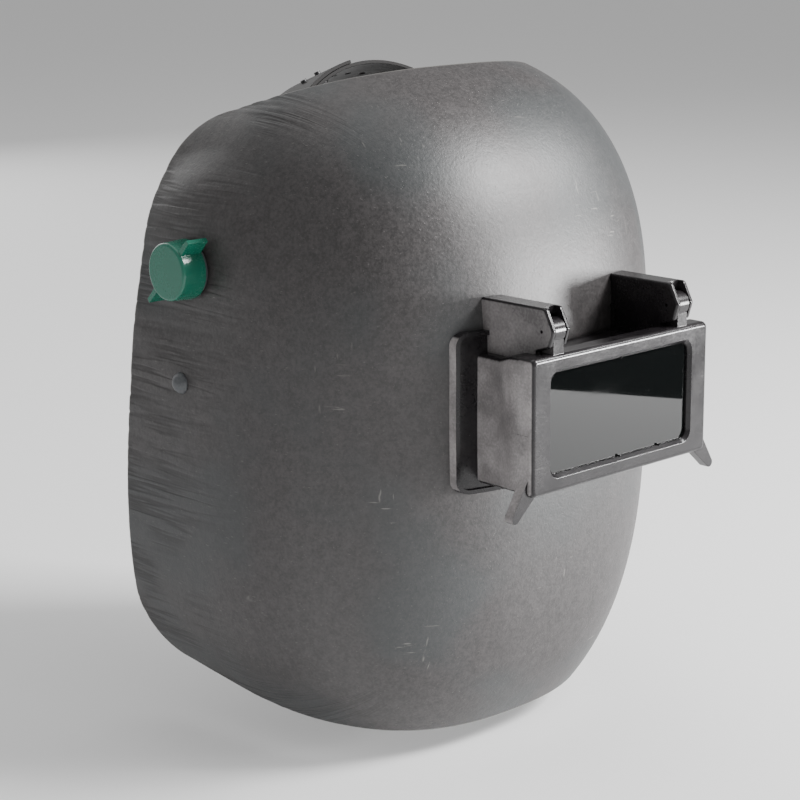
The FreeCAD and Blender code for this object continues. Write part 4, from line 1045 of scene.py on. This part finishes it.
@dataclass
class Cushion:
    """A soft strip that follows a path, crowned inwards and stitched along two seams."""

    FRAMES = 16
    BACK_GAP = 0.1 * MM
    CLOTH = {"quality": 6, "mass": 0.08, "use_pressure": True, "uniform_pressure_force": 3.0,
             "shrink_min": -0.05, "tension_stiffness": 12, "bending_stiffness": 0.3}

    node: str
    name: str
    slot: str
    crown: float
    edge: float

    def inflate(self, piece: bpy.types.Object, pinned: Sequence[int], cap: float) -> None:
        """Puff the cloth with a short simulation and hold it near its start.

        Args:
            piece: The cushion.
            pinned: Points that stay where they are.
            cap: How far any point may move.
        """
        start = [corner.co.copy() for corner in piece.data.vertices]
        group = piece.vertex_groups.new(name="seams")
        group.add(list(pinned), 1.0, "REPLACE")
        cloth = piece.modifiers.new("cloth", "CLOTH")
        for key, value in self.CLOTH.items():
            setattr(cloth.settings, key, value)
        cloth.settings.effector_weights.gravity = 0.0
        cloth.settings.vertex_group_mass = group.name
        cloth.point_cache.frame_start = 1
        cloth.point_cache.frame_end = self.FRAMES
        for frame in range(1, self.FRAMES + 1):
            bpy.context.scene.frame_set(frame)
        apply_modifiers(piece)
        bpy.context.scene.frame_set(1)
        for corner, origin in zip(piece.data.vertices, start):
            shift = corner.co - origin
            if shift.length > cap:
                corner.co = origin + shift.normalized() * cap

    def strip(self, spine: Sequence[tuple[Vector, Vector]], half: float,
              steps: int = 14) -> tuple[bpy.types.Object, list[int]]:
        """Loft the crowned section along a spine.

        Args:
            spine: Point on the backing and inward direction of each station.
            half: Half the strip's height.
            steps: Divisions across the height.

        Returns:
            The strip and its seam points.
        """
        points: list[Vector] = []
        seams: list[int] = []
        sides = 2 * (steps + 1)
        last = len(spine) - 1
        shares = [-1 + 2 * step / steps for step in range(steps + 1)]
        for index, (spot, inward) in enumerate(spine):
            swell = math.sqrt(min(min(index, last - index) / 4, 1.0))
            pucker = 1 + 0.05 * math.sin(index * 1.7)
            heights = [Vector((0, 0, half * share * (0.93 + 0.07 * swell))) for share in shares]
            for share, height in zip(shares, heights):
                bulge = self.edge + self.crown * swell * (1 - abs(share) ** 3.2) * pucker
                points.append(spot + inward * bulge + height)
                if abs(share) == 1 or index in (0, last):
                    seams.append(len(points) - 1)
            for height in reversed(heights):
                points.append(spot + inward * self.BACK_GAP + height)
                seams.append(len(points) - 1)
        faces = ring_faces(len(spine), sides, False)
        faces.append(tuple(range(sides)))
        faces.append(tuple(last * sides + side for side in range(sides)))
        return mesh_piece(self.name, points, faces), seams

    def finish(self, piece: bpy.types.Object, seams: Sequence[int], dresser: Dresser,
               fill: float) -> None:
        """Args:
            piece: The cushion.
            seams: Its pinned points.
            dresser: Gives the finish.
            fill: How tightly it is stuffed, from 0 to 1; not used.
        """
        self.inflate(piece, seams, 0.8 * MM)
        smooth = piece.modifiers.new("smooth", "SUBSURF")
        smooth.levels = 1
        apply_modifiers(piece)
        piece.data.shade_smooth()
        dresser.dress(piece, Finish.CLOTH)
        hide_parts(self.node)
        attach(piece, "headgear")

    def stitches(self, spine: Sequence[tuple[Vector, Vector]], heights: Sequence[float],
                 dresser: Dresser) -> None:
        """Sew short stitches along the seams.

        Args:
            spine: Stations of the strip.
            heights: Height of each seam.
            dresser: Gives the finish.
        """
        pieces = []
        for height in heights:
            for index in range(4, len(spine) - 5, 2):
                first, inward = spine[index]
                second, _ = spine[index + 1]
                lift = inward * (self.edge + 0.35 * MM) + Vector((0, 0, height))
                pieces.append(stitch(first.lerp(second, 0.1) + lift, first.lerp(second, 0.9) + lift,
                                     0.28 * MM))
        thread = join_pieces(self.name + "_stitches", pieces)
        thread.data.shade_smooth()
        dresser.dress(thread, Finish.THREAD)
        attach(thread, "headgear")


def stitch(start: Vector, end: Vector, radius: float) -> bpy.types.Object:
    """Make one spindle-shaped stitch.

    Args:
        start: Its first end.
        end: Its second end.
        radius: Radius at the middle.

    Returns:
        The stitch.
    """
    along = (end - start).normalized()
    first = along.orthogonal().normalized()
    second = along.cross(first)
    sides = 6
    points = [start, end]
    for share, swell in ((0.2, 0.75), (0.5, 1.0), (0.8, 0.75)):
        centre = start.lerp(end, share)
        for side in range(sides):
            turn = 2 * math.pi * side / sides
            points.append(centre + (first * math.cos(turn) + second * math.sin(turn)) * radius * swell)
    faces: list[tuple[int, ...]] = []
    for side in range(sides):
        after = (side + 1) % sides
        faces.append((0, 2 + side, 2 + after))
        faces.append((1, 2 + 2 * sides + side, 2 + 2 * sides + after))
        for ring in (0, 1):
            base = 2 + ring * sides
            faces.append((base + side, base + after, base + sides + after, base + sides + side))
    return mesh_piece("stitch", points, faces)


@dataclass
class Headgear:
    """Headband with its cushions, crown strap, brackets and ratchet."""

    band_half_width: float = 79.0
    band_half_length: float = 99.0
    band_centre_y: float = 6.0
    gap: float = 0.4
    stations: int = 96

    def build(self, dresser: Dresser) -> None:
        """Build the cushions and round the hard pieces.

        Args:
            dresser: Gives the finishes.
        """
        self._sweatband(dresser)
        self._nape_pad(dresser)
        self._hard_pieces(dresser)

    def _sweatband(self, dresser: Dresser) -> None:
        """Build the forehead cushion along the inside of the band.

        Args:
            dresser: Gives the finishes.
        """
        low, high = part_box("sweatband")
        rear = high.y / MM - 1.5
        minor = self.band_half_width - self.gap
        major = self.band_half_length - self.gap
        limit = math.acos(min(max(-(rear - self.band_centre_y) / major, -1), 1))
        spine = []
        for index in range(self.stations + 1):
            turn = -limit + 2 * limit * index / self.stations
            spot = Vector((minor * math.sin(turn), self.band_centre_y - major * math.cos(turn), 0)) * MM
            inward = Vector((-math.sin(turn) / minor, math.cos(turn) / major, 0)).normalized()
            spine.append((spot, inward))
        half = (high.z - low.z) / 2 - 0.2 * MM
        cushion = Cushion("sweatband", "forehead_cushion", "sweat_cloth", 3.0 * MM, 1.4 * MM)
        piece, seams = cushion.strip(spine, half)
        cushion.finish(piece, seams, dresser, 0.5)
        cushion.stitches(spine, (half - 2.6 * MM, 2.6 * MM - half), dresser)

    def _nape_pad(self, dresser: Dresser) -> None:
        """Build the cushion in front of the ratchet.

        Args:
            dresser: Gives the finishes.
        """
        low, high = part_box("nape_pad")
        count = 28
        spine = []
        for index in range(count + 1):
            x = low.x + (high.x - low.x) * index / count
            spine.append((Vector((x, high.y, 0)), Vector((0, -1, 0))))
        half = (high.z - low.z) / 2 - 0.2 * MM
        cushion = Cushion("nape_pad", "nape_cushion", "sweat_cloth", 3.0 * MM, 1.3 * MM)
        piece, seams = cushion.strip(spine, half)
        cushion.finish(piece, seams, dresser, 0.6)
        cushion.stitches(spine, (half - 2.4 * MM, 2.4 * MM - half), dresser)

    def _hard_pieces(self, dresser: Dresser) -> None:
        """Round the moulded pieces of the headgear.

        Args:
            dresser: Gives the finishes.
        """
        rounded = [("front_band", "headgear", 0.35), ("ratchet_housing", "headgear", 0.7),
                   ("ratchet_dial", "ratchet", 0.35), ("crown_strap_left", "crown_strap", 0.3),
                   ("crown_strap_right", "crown_strap", 0.3)]
        for side, _ in SIDES:
            rounded.append(("side_bracket_" + side, "headgear", 0.7))
            rounded.append(("stop_arm_" + side, "headgear", 0.5))
        for node, body, width in rounded:
            piece = softened_copy(node, node + "_moulding", width * MM)
            strap = node.startswith("crown_strap")
            dresser.dress(piece, Finish.STRAP if strap else Finish.NYLON)
            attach(piece, body)


# ---------------------------------------------------------------- pivots


@dataclass
class Pivots:
    """Wing knobs, stop pegs and the plain hardware, which keeps its frame shape."""

    knob_edge: float = 0.45 * MM
    peg_edge: float = 0.3 * MM

    def build(self, dresser: Dresser) -> None:
        """Round the knobs and pegs.

        Args:
            dresser: Gives the finishes.
        """
        for side, _ in SIDES:
            knob = softened_copy("wing_knob_" + side, "wing_knob_%s_moulding" % side, self.knob_edge)
            dresser.dress(knob, Finish.GREEN)
            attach(knob, "knob_" + side)
            peg = softened_copy("stop_peg_" + side, "stop_peg_%s_moulding" % side, self.peg_edge)
            dresser.dress(peg, Finish.GREY)
            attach(peg, "shell")


# ---------------------------------------------------------------- studio


@dataclass
class Studio:
    """Pale floor, soft lights, a dark flag for the glass, and the camera."""

    camera_spot: Colour = (-0.6620, -0.7135, 0.1587)
    camera_aim: Colour = (0.0, -0.0085, -0.0770)
    camera_roll: float = math.radians(-0.5)
    lens: float = 94.5
    floor_drop: float = 0.012
    floor_half: float = 30.0
    card_lift: float = 0.004
    flag_corner: tuple[float, float] = (0.506, -0.649)
    flag_edge: tuple[float, float] = (0.047, 0.093)
    flag_before: float = 1.2
    flag_after: float = 0.35
    flag_width: float = 2.2

    def build(self) -> None:
        """Set up the whole studio."""
        low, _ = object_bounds()
        level = low.z - self.floor_drop
        self._floor(level)
        self._world()
        self._softbox("key", (0.90, -1.05, 0.92), (0.0, -0.08, 0.0), 0.5, 52.0)
        self._softbox("low", (1.05, -1.15, -0.05), (0.05, -0.08, -0.17), 0.3, 40.0)
        self._softbox("top", (-0.1, 0.2, 1.5), (0.0, 0.0, -0.05), 1.3, 6.0)
        self._softbox("back", (0.3, 1.9, 0.7), (0.0, 0.0, -0.05), 1.4, 14.0)
        self._reflector("side_card", (-0.55, 0.40, level + self.card_lift), (0.42, 0.42), 0.9)
        self._flag(level)
        self._camera()

    def _floor(self, level: float) -> None:
        """Lay the floor.

        Args:
            level: Its height.
        """
        half = self.floor_half
        corners = [(-half, -half, level), (half, -half, level), (half, half, level), (-half, half, level)]
        floor = mesh_piece("studio_floor", corners, [(0, 1, 2, 3)])
        graph = Graph("floor_paint")
        floor.data.materials.append(graph.surface(Base_Color=(0.86, 0.86, 0.86), Roughness=0.9,
                                                  Specular_IOR_Level=0.1))
        floor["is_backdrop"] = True

    def _world(self) -> None:
        """Fill the room with even light."""
        world = bpy.data.worlds.new("studio_air")
        world.use_nodes = True
        air = world.node_tree.nodes["Background"]
        air.inputs["Color"].default_value = (1.0, 1.0, 1.0, 1.0)
        air.inputs["Strength"].default_value = 0.5
        bpy.context.scene.world = world

    def _softbox(self, name: str, spot: Colour, aim: Colour, size: float, power: float) -> None:
        """Hang a square area light.

        Args:
            name: The light's name.
            spot: Where it hangs.
            aim: What it faces.
            size: Edge of its square, in metres.
            power: Its power, in watts.
        """
        light = bpy.data.lights.new(name, "AREA")
        light.size = size
        light.energy = power
        lamp = bpy.data.objects.new(name, light)
        lamp.location = spot
        direction = Vector(aim) - Vector(spot)
        lamp.rotation_euler = direction.to_track_quat("-Z", "Y").to_euler()
        bpy.context.scene.collection.objects.link(lamp)

    def _reflector(self, name: str, centre: Colour, half: tuple[float, float], glow: float) -> None:
        """Lay a glowing card on the floor, which only reflections see.

        Args:
            name: The card's name.
            centre: Its middle.
            half: Half its size along X and Y.
            glow: Its radiance.
        """
        x, y, z = centre
        corners = [(x - half[0], y - half[1], z), (x + half[0], y - half[1], z),
                   (x + half[0], y + half[1], z), (x - half[0], y + half[1], z)]
        card = mesh_piece(name, corners, [(0, 1, 2, 3)])
        graph = Graph(name + "_glow")
        card.data.materials.append(graph.surface(Base_Color=(0.0, 0.0, 0.0), Roughness=1.0,
                                                 Emission_Color=(1.0, 0.99, 1.0, 1.0),
                                                 Emission_Strength=glow))
        self._only_reflected(card)

    @staticmethod
    def _only_reflected(card: bpy.types.Object) -> None:
        """Hide a card from everything but reflections.

        Args:
            card: The card.
        """
        for sight in ("camera", "diffuse", "shadow", "transmission"):
            setattr(card, "visible_" + sight, False)
        card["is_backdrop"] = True

    def _flag(self, level: float) -> None:
        """Lay a dark card to the side, which only reflections see.

        Args:
            level: Height of the floor.
        """
        near = Vector((*self.flag_corner, level + self.card_lift))
        along = Vector((*self.flag_edge, 0.0)).normalized()
        out = Vector((along.y, -along.x, 0.0)) * self.flag_width
        start, end = near - along * self.flag_before, near + along * self.flag_after
        corners = [start, end, end + out, start + out]
        card = mesh_piece("dark_flag", corners, [(0, 1, 2, 3)])
        graph = Graph("flag_cloth")
        card.data.materials.append(graph.surface(Base_Color=(0.0, 0.0, 0.0), Roughness=1.0,
                                                 Specular_IOR_Level=0.0))
        self._only_reflected(card)

    def _camera(self) -> None:
        """Place the camera."""
        data = bpy.data.cameras.new("view")
        data.lens = self.lens
        data.sensor_width = 36.0
        camera = bpy.data.objects.new("view", data)
        camera.location = self.camera_spot
        direction = Vector(self.camera_aim) - Vector(self.camera_spot)
        aim = direction.to_track_quat("-Z", "Y")
        camera.rotation_euler = aim.to_euler()
        camera.rotation_euler.rotate_axis("Z", self.camera_roll)
        bpy.context.scene.collection.objects.link(camera)
        bpy.context.scene.camera = camera


# ---------------------------------------------------------------- whole helmet


NODE_FINISHES = {
    "inner_clamp_frame": Finish.HOUSING, "cover_plate": Finish.GLASS, "filter_plate": Finish.GLASS,
    "safety_plate": Finish.CLEAR, "hinge_pin": Finish.HOUSING, "crown_pegs": Finish.NYLON,
    "band_tail": Finish.NYLON, "strap_peg": Finish.NYLON, "ratchet_cover": Finish.NYLON,
    "ratchet_pinion": Finish.GREY, "friction_washer": Finish.GREY, "inner_spacer": Finish.GREY,
    "knob_insert": Finish.BRASS,
}


def dress_nodes(nodes: dict[str, bpy.types.Object], dresser: Dresser) -> None:
    """Give every frame node that still shows its finish.

    Args:
        nodes: The frame's objects by name.
        dresser: Gives the finishes.
    """
    for name, piece in nodes.items():
        stem = name.rsplit("_", 1)[0]
        finish = NODE_FINISHES.get(name, NODE_FINISHES.get(stem, Finish.STEEL))
        dresser.dress(piece, finish)
        piece.data.shade_smooth()
        piece.data.set_sharp_from_angle(angle=math.radians(SMOOTH_DEGREES))


def main() -> None:
    """Build the helmet's looks around its frame."""
    logging.basicConfig(level=logging.INFO, format="%(name)s: %(message)s")
    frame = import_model()
    dresser = Dresser()
    dress_nodes(frame["nodes"], dresser)
    ShellSkin().build(dresser)
    LensHolder().build(dresser)
    Pivots().build(dresser)
    Headgear().build(dresser)
    for piece in bpy.context.scene.objects:
        if piece.type == "MESH" and piece.name not in frame["nodes"]:
            LOG.info("%s: %d faces", piece.name, len(piece.data.polygons))
    Studio().build()


if __name__ == "__main__":
    main()
